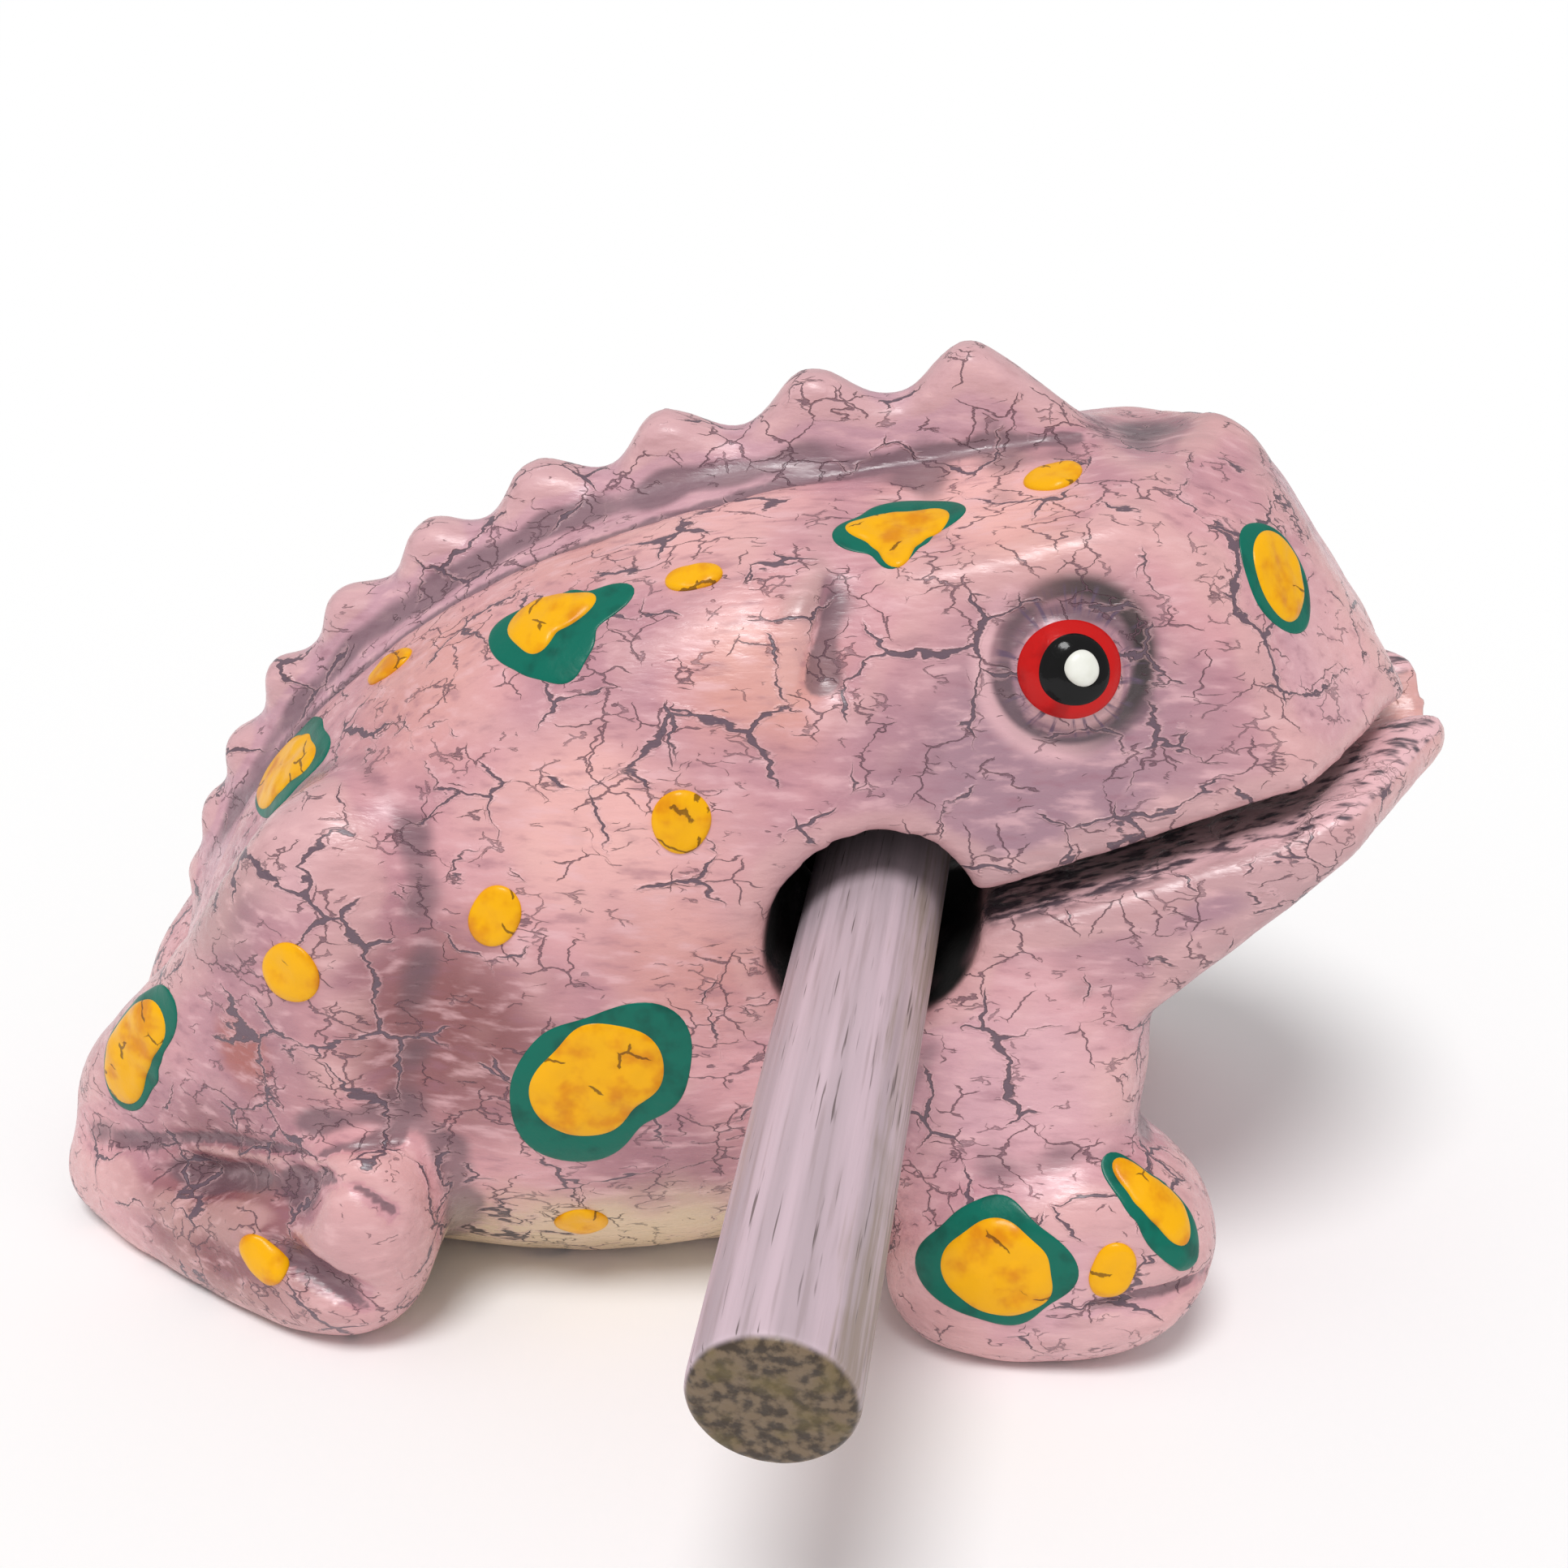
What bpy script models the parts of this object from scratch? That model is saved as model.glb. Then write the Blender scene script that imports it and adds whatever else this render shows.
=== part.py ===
"""Frog guiro: a hand-carved wooden frog with a toothed back, and its striker stick.

Frame: metres, +Z up. The frog looks along +X and stands on its four soles and
its sawn belly flat, all at Z = 0, with the origin on that flat.
"""

import math

import bpy
import bmesh
import numpy as np
from mathutils import Matrix, Vector

# Cross bore that holds the stick, drilled from cheek to cheek
BORE_DIAMETER = 0.022
BORE_X = 0.013
BORE_Z = 0.050
BORE_REACH = 0.070
BORE_DROP = math.radians(3.0)
BORE_TOE = math.radians(3.2)

# Striker stick, resting slanted in the bore
STICK_DIAMETER = 0.015
STICK_LENGTH = 0.150
STICK_NEAR_REACH = 0.0960
STICK_RIM = 0.0013
STICK_CLEARANCE = 0.0003
STICK_NEAR_LEAN = math.radians(200.0)
STICK_FAR_LEAN = math.radians(25.0)
STICK_SEGMENTS = 36

# Saw-cut mouth, rising to the front from the bore
MOUTH_ANGLE = math.radians(17.9)
MOUTH_DROP = 0.0017
MOUTH_HEIGHT = 0.0038
MOUTH_OVERRUN = 0.020

# Sound chamber, drilled through the mouth into the belly
CHAMBER_DIAMETER = 0.016
CHAMBER_DEPTH = 0.046

# Toothed ridge along the back
RIDGE_THICKNESS = 0.0078
RIDGE_FRONT = (0.0345, 0.0965)
RIDGE_FIRST_PEAK = (0.0215, 0.1060)
RIDGE_LAST_PEAK = (-0.0712, 0.0385)
RIDGE_FRONT_HANDLE = 0.051
RIDGE_REAR_HANDLE = 0.041
RIDGE_FRONT_SLOPE = math.radians(11.0)
RIDGE_REAR_SLOPE = math.radians(75.0)
RIDGE_TEETH = 10
RIDGE_PITCH_RATIO = 0.47
RIDGE_NOTCH_SHARE = 0.33
RIDGE_SINK = 0.020
RIDGE_EDGE = 0.0020
RIDGE_TAIL_RUN = 0.0010
RIDGE_FRONT_SETBACK = 0.0040
RIDGE_CURVE_STEPS = 400
RIDGE_TOOTH_STEPS = 8

# Torso cage: stations along X, each with five points of the half section.
# Every point is (Y, Z): back, shoulder, flank, belly and sole edge.
TORSO_STATIONS = (
    (-0.0725, ((0.000, 0.026), (0.008, 0.024), (0.012, 0.019), (0.012, 0.011), (0.008, 0.006))),
    (-0.0655, ((0.000, 0.046), (0.014, 0.040), (0.020, 0.028), (0.021, 0.012), (0.015, 0.000))),
    (-0.0520, ((0.000, 0.067), (0.024, 0.059), (0.032, 0.043), (0.034, 0.018), (0.020, -0.001))),
    (-0.0330, ((0.000, 0.082), (0.029, 0.076), (0.038, 0.056), (0.042, 0.021), (0.023, -0.004))),
    (-0.0120, ((0.000, 0.090), (0.029, 0.086), (0.038, 0.062), (0.043, 0.024), (0.023, -0.004))),
    (0.0080, ((0.000, 0.093), (0.027, 0.090), (0.035, 0.066), (0.040, 0.030), (0.022, 0.001))),
    (0.0270, ((0.000, 0.092), (0.022, 0.088), (0.030, 0.068), (0.034, 0.036), (0.024, 0.006))),
    (0.0420, ((0.000, 0.076), (0.016, 0.073), (0.024, 0.062), (0.026, 0.040), (0.019, 0.018))),
)

# Keel under the belly that is sawn level with the soles
KEEL_ENDS = (-0.0480, 0.0080)
KEEL_HALF_WIDTH = 0.0125
KEEL_TOP = 0.020
KEEL_BOTTOM = -0.002

# Head block: chisel cuts, each a point on the cut and the way it faces
HEAD_FRONT = 0.0772
HEAD_REAR = 0.0040
HEAD_HALF_WIDTH = 0.0325
HEAD_TOP = 0.1080
HEAD_BOTTOM = 0.0200
CHEEK_CUT = ((0.0130, 0.0330, 0.0600), (0.10, 1.00, 0.24))
BROW_CUT = ((0.0300, 0.0140, 0.0925), (-0.22, 0.22, 1.00))
BROW_END_CUT = ((0.0390, 0.0200, 0.0925), (0.34, 0.40, 0.85))
SNOUT_SIDE_CUT = ((0.0490, 0.0265, 0.0800), (0.66, 0.56, 0.48))
SNOUT_FRONT_CUT = ((0.0693, 0.0000, 0.0717), (0.815, 0.00, 0.58))
SNOUT_CROWN_CUT = ((0.0478, 0.0000, 0.0987), (0.50, 0.00, 0.87))
LIP_CUT = ((0.0640, 0.0200, 0.0640), (0.80, 0.60, 0.00))
JAW_CUT = ((0.0593, 0.0240, 0.0529), (0.655, 0.27, -0.72))

# Forehead scoop, gouged across between the ridge and the snout
SCOOP_RADIUS = 0.011
SCOOP_X = 0.0400
SCOOP_FLOOR_Z = 0.0950

# Neck notch behind each brow
NECK_X = 0.0066
NECK_RUN = 0.0145
NECK_DEPTH = 0.0040
NECK_Z = 0.0835
NECK_HEIGHT = 0.020
NECK_LEAN = math.radians(30.0)

# Eyes: a dome in a gouged ring on each cheek
EYE_X = 0.0325
EYE_Z = 0.0770
EYE_DIAMETER = 0.0132
EYE_RISE = 0.0034
EYE_RING_WIDTH = 0.0016
EYE_RING_DEPTH = 0.0016

# Hind legs: a thigh and a foot, each in an upright plane splayed from the body.
# An outline point is (distance back from the toe, Z).
THIGH_FRONT = (-0.0372, 0.0408)
THIGH_SPLAY = math.radians(28.0)
THIGH_OUTLINE = (
    (0.0100, 0.0650), (0.0030, 0.0620), (-0.0010, 0.0540), (-0.0010, 0.0400), (0.0000, 0.0240),
    (0.0160, 0.0160), (0.0320, 0.0120), (0.0505, 0.0060), (0.0565, 0.0080), (0.0525, 0.0190),
    (0.0450, 0.0275), (0.0345, 0.0380), (0.0255, 0.0490), (0.0180, 0.0620),
)
THIGH_THICKNESS = 0.024
THIGH_BULGE = 0.003
HIND_TOE = (-0.0400, 0.0495)
HIND_SPLAY = math.radians(33.0)
FOOT_OUTLINE = (
    (0.0590, -0.0040), (0.0600, 0.0110), (0.0340, 0.0165), (0.0140, 0.0225),
    (0.0040, 0.0285), (-0.0030, 0.0220), (0.0000, 0.0070), (0.0060, -0.0040),
)
FOOT_THICKNESS = 0.018

# Hollow between a hind foot's outer edge and the thigh: stations as (back from
# the toe, depth of the crease, its Z, Z of the outer edge, Z where the thigh starts)
FOOT_HOLLOW = (
    (0.0640, 0.0090, 0.0075, 0.0115, 0.0150),
    (0.0450, 0.0095, 0.0090, 0.0125, 0.0170),
    (0.0280, 0.0090, 0.0140, 0.0125, 0.0205),
    (0.0130, 0.0070, 0.0205, 0.0140, 0.0275),
    (0.0030, 0.0030, 0.0260, 0.0210, 0.0310),
)
HOLLOW_OVERRUN = 0.0060

# Gouge strokes between the toes: ends as (back from the toe, out, Z) on a hind
# foot, and as (X, Y, Z) on a front foot
TOE_GROOVE_DIAMETER = 0.0050
HIND_TOE_GROOVES = (
    ((0.0100, 0.0020, 0.0238), (-0.0060, -0.0048, 0.0192)),
    ((0.0160, 0.0008, 0.0140), (-0.0020, -0.0036, 0.0075)),
)

# Front legs: upper leg and foot, outlines in the XZ plane
FORELEG_OUTLINE = (
    (0.0190, 0.0580), (0.0150, 0.0400), (0.0140, 0.0220), (0.0150, 0.0080), (0.0300, 0.0040),
    (0.0410, 0.0120), (0.0415, 0.0220), (0.0440, 0.0300), (0.0445, 0.0380), (0.0350, 0.0560),
)
FORELEG_Y = 0.0275
FORELEG_LEAN = 0.16
FORELEG_PIVOT_Z = 0.020
FORELEG_THICKNESS = 0.020
FOREFOOT_OUTLINE = (
    (0.0175, -0.0030), (0.0135, 0.0080), (0.0190, 0.0210), (0.0320, 0.0260), (0.0430, 0.0260),
    (0.0500, 0.0210), (0.0530, 0.0145), (0.0520, 0.0070), (0.0430, -0.0025),
)
FOREFOOT_Y = 0.0310
FOREFOOT_THICKNESS = 0.023
FORE_TOE_GROOVE = ((0.0400, 0.0446, 0.0098), (0.0570, 0.0385, 0.0128))

# Leg forms: share of the outline that the raised face takes, and half width of
# the rim as a share of the thickness
PILLOW_FACE = 0.72
PILLOW_RIM = 0.5

# Surface of the carving
CARVE_VOXEL = 0.0013
CARVE_SMOOTHING = 6
CARVE_DETAIL = 0.090
ROUND_SEGMENTS = 40
BLOCK_SIZE = 0.400

SIDES = (-1.0, 1.0)


def clear_scene():
    for item in list(bpy.data.objects):
        bpy.data.objects.remove(item, do_unlink=True)


def new_collection(name):
    group = bpy.data.collections.new(name)
    bpy.context.scene.collection.children.link(group)
    return group


def new_object(name, mesh, group):
    item = bpy.data.objects.new(name, mesh)
    group.objects.link(item)
    return item


def mesh_from(bm, name):
    """Finish a bmesh as a mesh with its faces pointing out."""
    bmesh.ops.recalc_face_normals(bm, faces=bm.faces)
    mesh = bpy.data.meshes.new(name)
    bm.to_mesh(mesh)
    bm.free()
    return mesh


def evaluated_mesh(item):
    """The mesh that an object's modifiers give."""
    depsgraph = bpy.context.evaluated_depsgraph_get()
    return bpy.data.meshes.new_from_object(item.evaluated_get(depsgraph))


def material(name, color, roughness, metallic=0.0):
    made = bpy.data.materials.new(name)
    made.use_nodes = True
    shader = made.node_tree.nodes["Principled BSDF"]
    shader.inputs["Base Color"].default_value = (*color, 1.0)
    shader.inputs["Roughness"].default_value = roughness
    shader.inputs["Metallic"].default_value = metallic
    return made


def mirrored(point, side):
    return Vector((point[0], point[1] * side, point[2]))


def cheek_y(x, z):
    """Half width of the head where the cheek cut passes a point of the side view."""
    (px, py, pz), (nx, ny, nz) = CHEEK_CUT
    return py - (nx * (x - px) + nz * (z - pz)) / ny


def torso(group):
    """Half cage of the stations, mirrored and subdivided."""
    bm = bmesh.new()
    rows = []
    for x, points in TORSO_STATIONS:
        row = [bm.verts.new((x, y, z)) for y, z in points]
        row.append(bm.verts.new((x, 0.0, points[-1][1])))
        rows.append(row)
    for front, rear in zip(rows[1:], rows[:-1]):
        for step in range(len(front) - 1):
            bm.faces.new((rear[step], front[step], front[step + 1], rear[step + 1]))
    bm.faces.new(rows[0])
    bm.faces.new(list(reversed(rows[-1])))
    cage = new_object("torso_cage", mesh_from(bm, "torso_cage"), group)
    mirror = cage.modifiers.new("Mirror", "MIRROR")
    mirror.use_axis = (False, True, False)
    mirror.merge_threshold = 0.0001
    soften_cage(cage, 3)
    return cage


def chisel(bm, point, facing):
    """Take away what lies past a plane and close the cut."""
    geometry = bm.verts[:] + bm.edges[:] + bm.faces[:]
    cut = bmesh.ops.bisect_plane(bm, geom=geometry, dist=1e-7, plane_co=point,
                                 plane_no=Vector(facing).normalized(), clear_outer=True)
    edges = [part for part in cut["geom_cut"] if isinstance(part, bmesh.types.BMEdge)]
    if edges:
        bmesh.ops.contextual_create(bm, geom=edges)


def block(low, high):
    """A box between two corners."""
    bm = bmesh.new()
    bmesh.ops.create_cube(bm, size=1.0)
    size = Vector(high) - Vector(low)
    middle = (Vector(high) + Vector(low)) / 2
    bmesh.ops.scale(bm, vec=size, verts=bm.verts)
    bmesh.ops.translate(bm, vec=middle, verts=bm.verts)
    return bm


def chisel_both(bm, cut):
    point, facing = cut
    for side in SIDES:
        chisel(bm, mirrored(point, side), mirrored(facing, side))


def head_block():
    """Block of the whole head, with its cheeks cut."""
    bm = block((HEAD_REAR, -HEAD_HALF_WIDTH, HEAD_BOTTOM), (HEAD_FRONT, HEAD_HALF_WIDTH, HEAD_TOP))
    chisel_both(bm, CHEEK_CUT)
    return bm


def head(group):
    """Head block with its brow, snout and jaw facets."""
    bm = head_block()
    chisel_both(bm, BROW_CUT)
    chisel_both(bm, BROW_END_CUT)
    chisel_both(bm, SNOUT_SIDE_CUT)
    chisel(bm, *SNOUT_FRONT_CUT)
    chisel(bm, *SNOUT_CROWN_CUT)
    chisel_both(bm, JAW_CUT)
    return new_object("head", mesh_from(bm, "head"), group)


def jaw(group):
    """Lower jaw, level with the head but standing out past the snout at the lip."""
    bm = head_block()
    facing = Vector((-math.sin(MOUTH_ANGLE), 0.0, math.cos(MOUTH_ANGLE)))
    chisel(bm, Vector((BORE_X, 0.0, BORE_Z - MOUTH_DROP)) - facing * MOUTH_HEIGHT / 2, facing)
    chisel_both(bm, JAW_CUT)
    chisel_both(bm, LIP_CUT)
    return new_object("jaw", mesh_from(bm, "jaw"), group)


def ridge_crest(share):
    """Point of the crest curve, a Bezier from the first to the last peak."""
    first = Vector(RIDGE_FIRST_PEAK)
    last = Vector(RIDGE_LAST_PEAK)
    leave = Vector((-math.cos(RIDGE_FRONT_SLOPE), -math.sin(RIDGE_FRONT_SLOPE)))
    arrive = Vector((math.cos(RIDGE_REAR_SLOPE), math.sin(RIDGE_REAR_SLOPE)))
    one = first + leave * RIDGE_FRONT_HANDLE
    two = last + arrive * RIDGE_REAR_HANDLE
    rest = 1.0 - share
    return (first * rest ** 3 + one * 3 * rest ** 2 * share
            + two * 3 * rest * share ** 2 + last * share ** 3)


def ridge_outline():
    """Crest with its notches, then the sunk inner line back to the front."""
    samples = [ridge_crest(step / RIDGE_CURVE_STEPS) for step in range(RIDGE_CURVE_STEPS + 1)]
    lengths = [0.0]
    for near, far in zip(samples[:-1], samples[1:]):
        lengths.append(lengths[-1] + (far - near).length)
    gaps = RIDGE_TEETH - 1
    shares = [1.0 - (1.0 - RIDGE_PITCH_RATIO) * step / (gaps - 1) for step in range(gaps)]
    pitches = [lengths[-1] * share / sum(shares) for share in shares]
    outline = [Vector(RIDGE_FRONT)]
    inner = [Vector(RIDGE_FRONT) - Vector((RIDGE_FRONT_SETBACK, RIDGE_SINK))]
    start = 0.0
    for pitch in pitches:
        for step in range(RIDGE_TOOTH_STEPS):
            turn = step / RIDGE_TOOTH_STEPS
            along = start + pitch * turn
            index = int(np.searchsorted(lengths, along))
            index = min(max(index, 1), len(samples) - 1)
            tangent = (samples[index] - samples[index - 1]).normalized()
            inward = Vector((-tangent.y, tangent.x))
            notch = 0.5 * (1.0 - math.cos(2 * math.pi * turn)) * pitch * RIDGE_NOTCH_SHARE
            outline.append(samples[index] + inward * notch)
            if step == 0:
                inner.append(samples[index] + inward * RIDGE_SINK)
        start += pitch
    tail = Vector((math.cos(RIDGE_REAR_SLOPE), -math.sin(RIDGE_REAR_SLOPE)))
    outline.append(samples[-1])
    outline.append(samples[-1] + tail * RIDGE_THICKNESS / 2 + Vector((RIDGE_TAIL_RUN, 0.0)))
    outline.append(samples[-1] + Vector((RIDGE_SINK / 2, -RIDGE_THICKNESS)))
    return outline + list(reversed(inner))


def plate_mesh(outline, thickness, name):
    """Flat outline in XZ given a thickness along Y."""
    bm = bmesh.new()
    low = [bm.verts.new((point[0], -thickness / 2, point[1])) for point in outline]
    face = bm.faces.new(low)
    moved = bmesh.ops.extrude_face_region(bm, geom=[face])
    verts = [part for part in moved["geom"] if isinstance(part, bmesh.types.BMVert)]
    bmesh.ops.translate(bm, vec=(0.0, thickness, 0.0), verts=verts)
    return mesh_from(bm, name)


def ridge(group):
    """Toothed plate with softened edges."""
    item = new_object("ridge", plate_mesh(ridge_outline(), RIDGE_THICKNESS, "ridge"), group)
    soften = item.modifiers.new("Bevel", "BEVEL")
    soften.width = RIDGE_EDGE
    soften.segments = 2
    soften.limit_method = "ANGLE"
    soften.angle_limit = math.radians(60.0)
    return item


def pillow_mesh(outline, thickness, place, name):
    """Cage of an outline with a domed face on each side; place maps (s, out, z) to space."""
    count = len(outline)
    middle = (sum(point[0] for point in outline) / count, sum(point[1] for point in outline) / count)
    bm = bmesh.new()
    layers = ((PILLOW_FACE, -1.0), (1.0, -PILLOW_RIM), (1.0, PILLOW_RIM), (PILLOW_FACE, 1.0))
    rings = []
    for share, level in layers:
        ring = []
        for s, z in outline:
            s_in = middle[0] + (s - middle[0]) * share
            z_in = middle[1] + (z - middle[1]) * share
            ring.append(bm.verts.new(place(s_in, level * thickness / 2, z_in)))
        rings.append(ring)
    for lower, upper in zip(rings[:-1], rings[1:]):
        for step in range(count):
            after = (step + 1) % count
            bm.faces.new((lower[step], lower[after], upper[after], upper[step]))
    for ring, level in ((rings[0], -1.0), (rings[-1], 1.0)):
        centre = bm.verts.new(place(middle[0], level * thickness / 2, middle[1]))
        for step in range(count):
            bm.faces.new((ring[step], ring[(step + 1) % count], centre))
    return mesh_from(bm, name)


def soften_cage(item, levels):
    rounding = item.modifiers.new("Subdivision", "SUBSURF")
    rounding.levels = levels
    rounding.render_levels = levels


def splayed_place(side, front, splay, depth):
    """Map of an upright plane through the front point, splayed from the XZ plane."""
    along = Vector((-math.cos(splay), -math.sin(splay)))
    outward = Vector((-math.sin(splay), math.cos(splay)))

    def place(s, out, z):
        spot = Vector(front) + along * s + outward * (out - depth)
        return (spot.x, spot.y * side, z)

    return place


def thigh_place(side):
    return splayed_place(side, THIGH_FRONT, THIGH_SPLAY, THIGH_THICKNESS / 2 - THIGH_BULGE)


def foot_place(side):
    return splayed_place(side, HIND_TOE, HIND_SPLAY, FOOT_THICKNESS / 2)


def fore_place(side, y, lean=0.0):
    """Map of an upright plane beside the body that leans in toward its top."""
    def place(s, out, z):
        return (s, (y + out - lean * (z - FORELEG_PIVOT_Z)) * side, z)

    return place


def legs(group):
    """Thighs, hind feet, front legs and front feet of both sides."""
    made = []
    for side in SIDES:
        parts = (
            ("thigh", THIGH_OUTLINE, THIGH_THICKNESS, thigh_place(side)),
            ("hind_foot", FOOT_OUTLINE, FOOT_THICKNESS, foot_place(side)),
            ("foreleg", FORELEG_OUTLINE, FORELEG_THICKNESS, fore_place(side, FORELEG_Y, FORELEG_LEAN)),
            ("forefoot", FOREFOOT_OUTLINE, FOREFOOT_THICKNESS, fore_place(side, FOREFOOT_Y)),
        )
        for name, outline, thickness, place in parts:
            mesh = pillow_mesh(outline, thickness, place, name)
            item = new_object(name, mesh, group)
            soften_cage(item, 2)
            made.append(item)
    return made


def belly_keel(group):
    """Keel under the belly that the sole cut turns into a flat."""
    low = (KEEL_ENDS[0], -KEEL_HALF_WIDTH, KEEL_BOTTOM)
    high = (KEEL_ENDS[1], KEEL_HALF_WIDTH, KEEL_TOP)
    return new_object("belly_keel", mesh_from(block(low, high), "belly_keel"), group)


def join_shells(items, name, group):
    """One mesh of all the roughed-out forms, each still a closed shell."""
    bm = bmesh.new()
    for item in items:
        mesh = evaluated_mesh(item)
        bm.from_mesh(mesh)
        bpy.data.meshes.remove(mesh)
        bpy.data.objects.remove(item, do_unlink=True)
    mesh = bpy.data.meshes.new(name)
    bm.to_mesh(mesh)
    bm.free()
    return new_object(name, mesh, group)


def cylinder_between(start, end, radius, name, group, segments=ROUND_SEGMENTS):
    """Round cutter between two points."""
    axis = Vector(end) - Vector(start)
    bm = bmesh.new()
    turn = axis.to_track_quat("Z", "Y").to_matrix().to_4x4()
    place = Matrix.Translation((Vector(start) + Vector(end)) / 2) @ turn
    bmesh.ops.create_cone(bm, cap_ends=True, segments=segments, radius1=radius, radius2=radius,
                          depth=axis.length, matrix=place)
    return new_object(name, mesh_from(bm, name), group)


def block_cutter(low, high, name, group, place=Matrix()):
    bm = block(low, high)
    bmesh.ops.transform(bm, matrix=place, verts=bm.verts)
    return new_object(name, mesh_from(bm, name), group)


def sphere_cutter(centre, radii, name, group, turn=Matrix()):
    """Ellipsoid with its own axes turned."""
    bm = bmesh.new()
    bmesh.ops.create_uvsphere(bm, u_segments=28, v_segments=16, radius=1.0)
    place = Matrix.Translation(centre) @ turn @ Matrix.Diagonal((*radii, 1.0))
    bmesh.ops.transform(bm, matrix=place, verts=bm.verts)
    return new_object(name, mesh_from(bm, name), group)


def eye_turn(side):
    """Turn that brings +Z to the way the cheek faces."""
    facing = mirrored(CHEEK_CUT[1], side).normalized()
    return facing.to_track_quat("Z", "Y").to_matrix().to_4x4()


def eye_centre(side):
    return Vector((EYE_X, cheek_y(EYE_X, EYE_Z) * side, EYE_Z))


def eye_ring_cutter(side, group):
    """Flat pan wider than the dome by the ring."""
    radius = EYE_DIAMETER / 2 + EYE_RING_WIDTH
    return sphere_cutter(eye_centre(side), (radius, radius, EYE_RING_DEPTH), "eye_ring_cutter", group,
                         eye_turn(side))


def eye_dome(side, group):
    """Low dome that stands in the pan."""
    radius = EYE_DIAMETER / 2
    turn = eye_turn(side)
    sink = turn @ Vector((0.0, 0.0, -EYE_RING_DEPTH))
    radii = (radius, radius, EYE_RISE + EYE_RING_DEPTH)
    return sphere_cutter(eye_centre(side) + sink, radii, "eye_dome_shape", group, turn)


def mouth_reach():
    """Length of the mouth from the bore's axis to past the lips."""
    return (HEAD_FRONT - BORE_X) / math.cos(MOUTH_ANGLE) + MOUTH_OVERRUN


def mouth_cutter(group):
    """Slab of the saw cut, from the bore out past the lips."""
    start = Matrix.Translation((BORE_X, 0.0, BORE_Z - MOUTH_DROP))
    turn = start @ Matrix.Rotation(-MOUTH_ANGLE, 4, "Y")
    low = (0.0, -BORE_REACH, -MOUTH_HEIGHT / 2)
    high = (mouth_reach(), BORE_REACH, MOUTH_HEIGHT / 2)
    return block_cutter(low, high, "mouth_cutter", group, turn)


def chamber_cutter(group):
    """Round-ended drill hole along the mouth line, down into the belly."""
    run = Vector((math.cos(MOUTH_ANGLE), 0.0, math.sin(MOUTH_ANGLE)))
    centre = Vector((BORE_X, 0.0, BORE_Z - MOUTH_DROP))
    return cylinder_between(centre - run * CHAMBER_DEPTH, centre + run * mouth_reach(),
                            CHAMBER_DIAMETER / 2, "chamber_cutter", group)


def bore_point(y):
    """Point of the bore's axis, which runs a little downhill to the near cheek."""
    past = y + cheek_y(BORE_X, BORE_Z)
    return Vector((BORE_X + past * math.tan(BORE_TOE), y, BORE_Z + past * math.tan(BORE_DROP)))


def bore_offset(distance, lean):
    """Step off the bore's axis, leaning from straight up toward the snout."""
    return Vector((math.sin(lean), 0.0, math.cos(lean))) * distance


def bore_cutter(group):
    return cylinder_between(bore_point(-BORE_REACH), bore_point(BORE_REACH), BORE_DIAMETER / 2,
                            "bore_cutter", group)


def sole_cutter(group):
    """Saw cut that levels the soles and the belly."""
    low = (-BLOCK_SIZE / 2, -BLOCK_SIZE / 2, -BLOCK_SIZE / 4)
    high = (BLOCK_SIZE / 2, BLOCK_SIZE / 2, 0.0)
    return block_cutter(low, high, "sole_cutter", group)


def scoop_cutter(group):
    centre_z = SCOOP_FLOOR_Z + SCOOP_RADIUS
    start = (SCOOP_X, -BORE_REACH, centre_z)
    end = (SCOOP_X, BORE_REACH, centre_z)
    return cylinder_between(start, end, SCOOP_RADIUS, "scoop_cutter", group)


def foot_hollow_cutter(side, group):
    """Three-cornered loft along the foot: crease, outer edge and foot of the thigh."""
    place = splayed_place(side, HIND_TOE, HIND_SPLAY, 0.0)
    bm = bmesh.new()
    rings = []
    for back, depth, crease_z, edge_z, thigh_z in FOOT_HOLLOW:
        rise = (edge_z - crease_z) * HOLLOW_OVERRUN / depth
        corners = ((-depth, crease_z), (HOLLOW_OVERRUN, edge_z + rise), (HOLLOW_OVERRUN, thigh_z))
        rings.append([bm.verts.new(place(back, out, z)) for out, z in corners])
    for near, far in zip(rings[:-1], rings[1:]):
        for step in range(len(near)):
            after = (step + 1) % len(near)
            bm.faces.new((near[step], near[after], far[after], far[step]))
    bm.faces.new(rings[0])
    bm.faces.new(list(reversed(rings[-1])))
    bmesh.ops.triangulate(bm, faces=bm.faces)
    return new_object("foot_hollow_cutter", mesh_from(bm, "foot_hollow_cutter"), group)


def toe_groove_cutters(side, group):
    """Round gouge strokes over the toes of one side's feet."""
    made = []
    radius = TOE_GROOVE_DIAMETER / 2
    place = splayed_place(side, HIND_TOE, HIND_SPLAY, 0.0)
    for near, far in HIND_TOE_GROOVES:
        made.append(cylinder_between(place(*near), place(*far), radius, "hind_toe_cutter", group, 16))
    start, end = (mirrored(point, side) for point in FORE_TOE_GROOVE)
    made.append(cylinder_between(start, end, radius, "fore_toe_cutter", group, 16))
    return made


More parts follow.
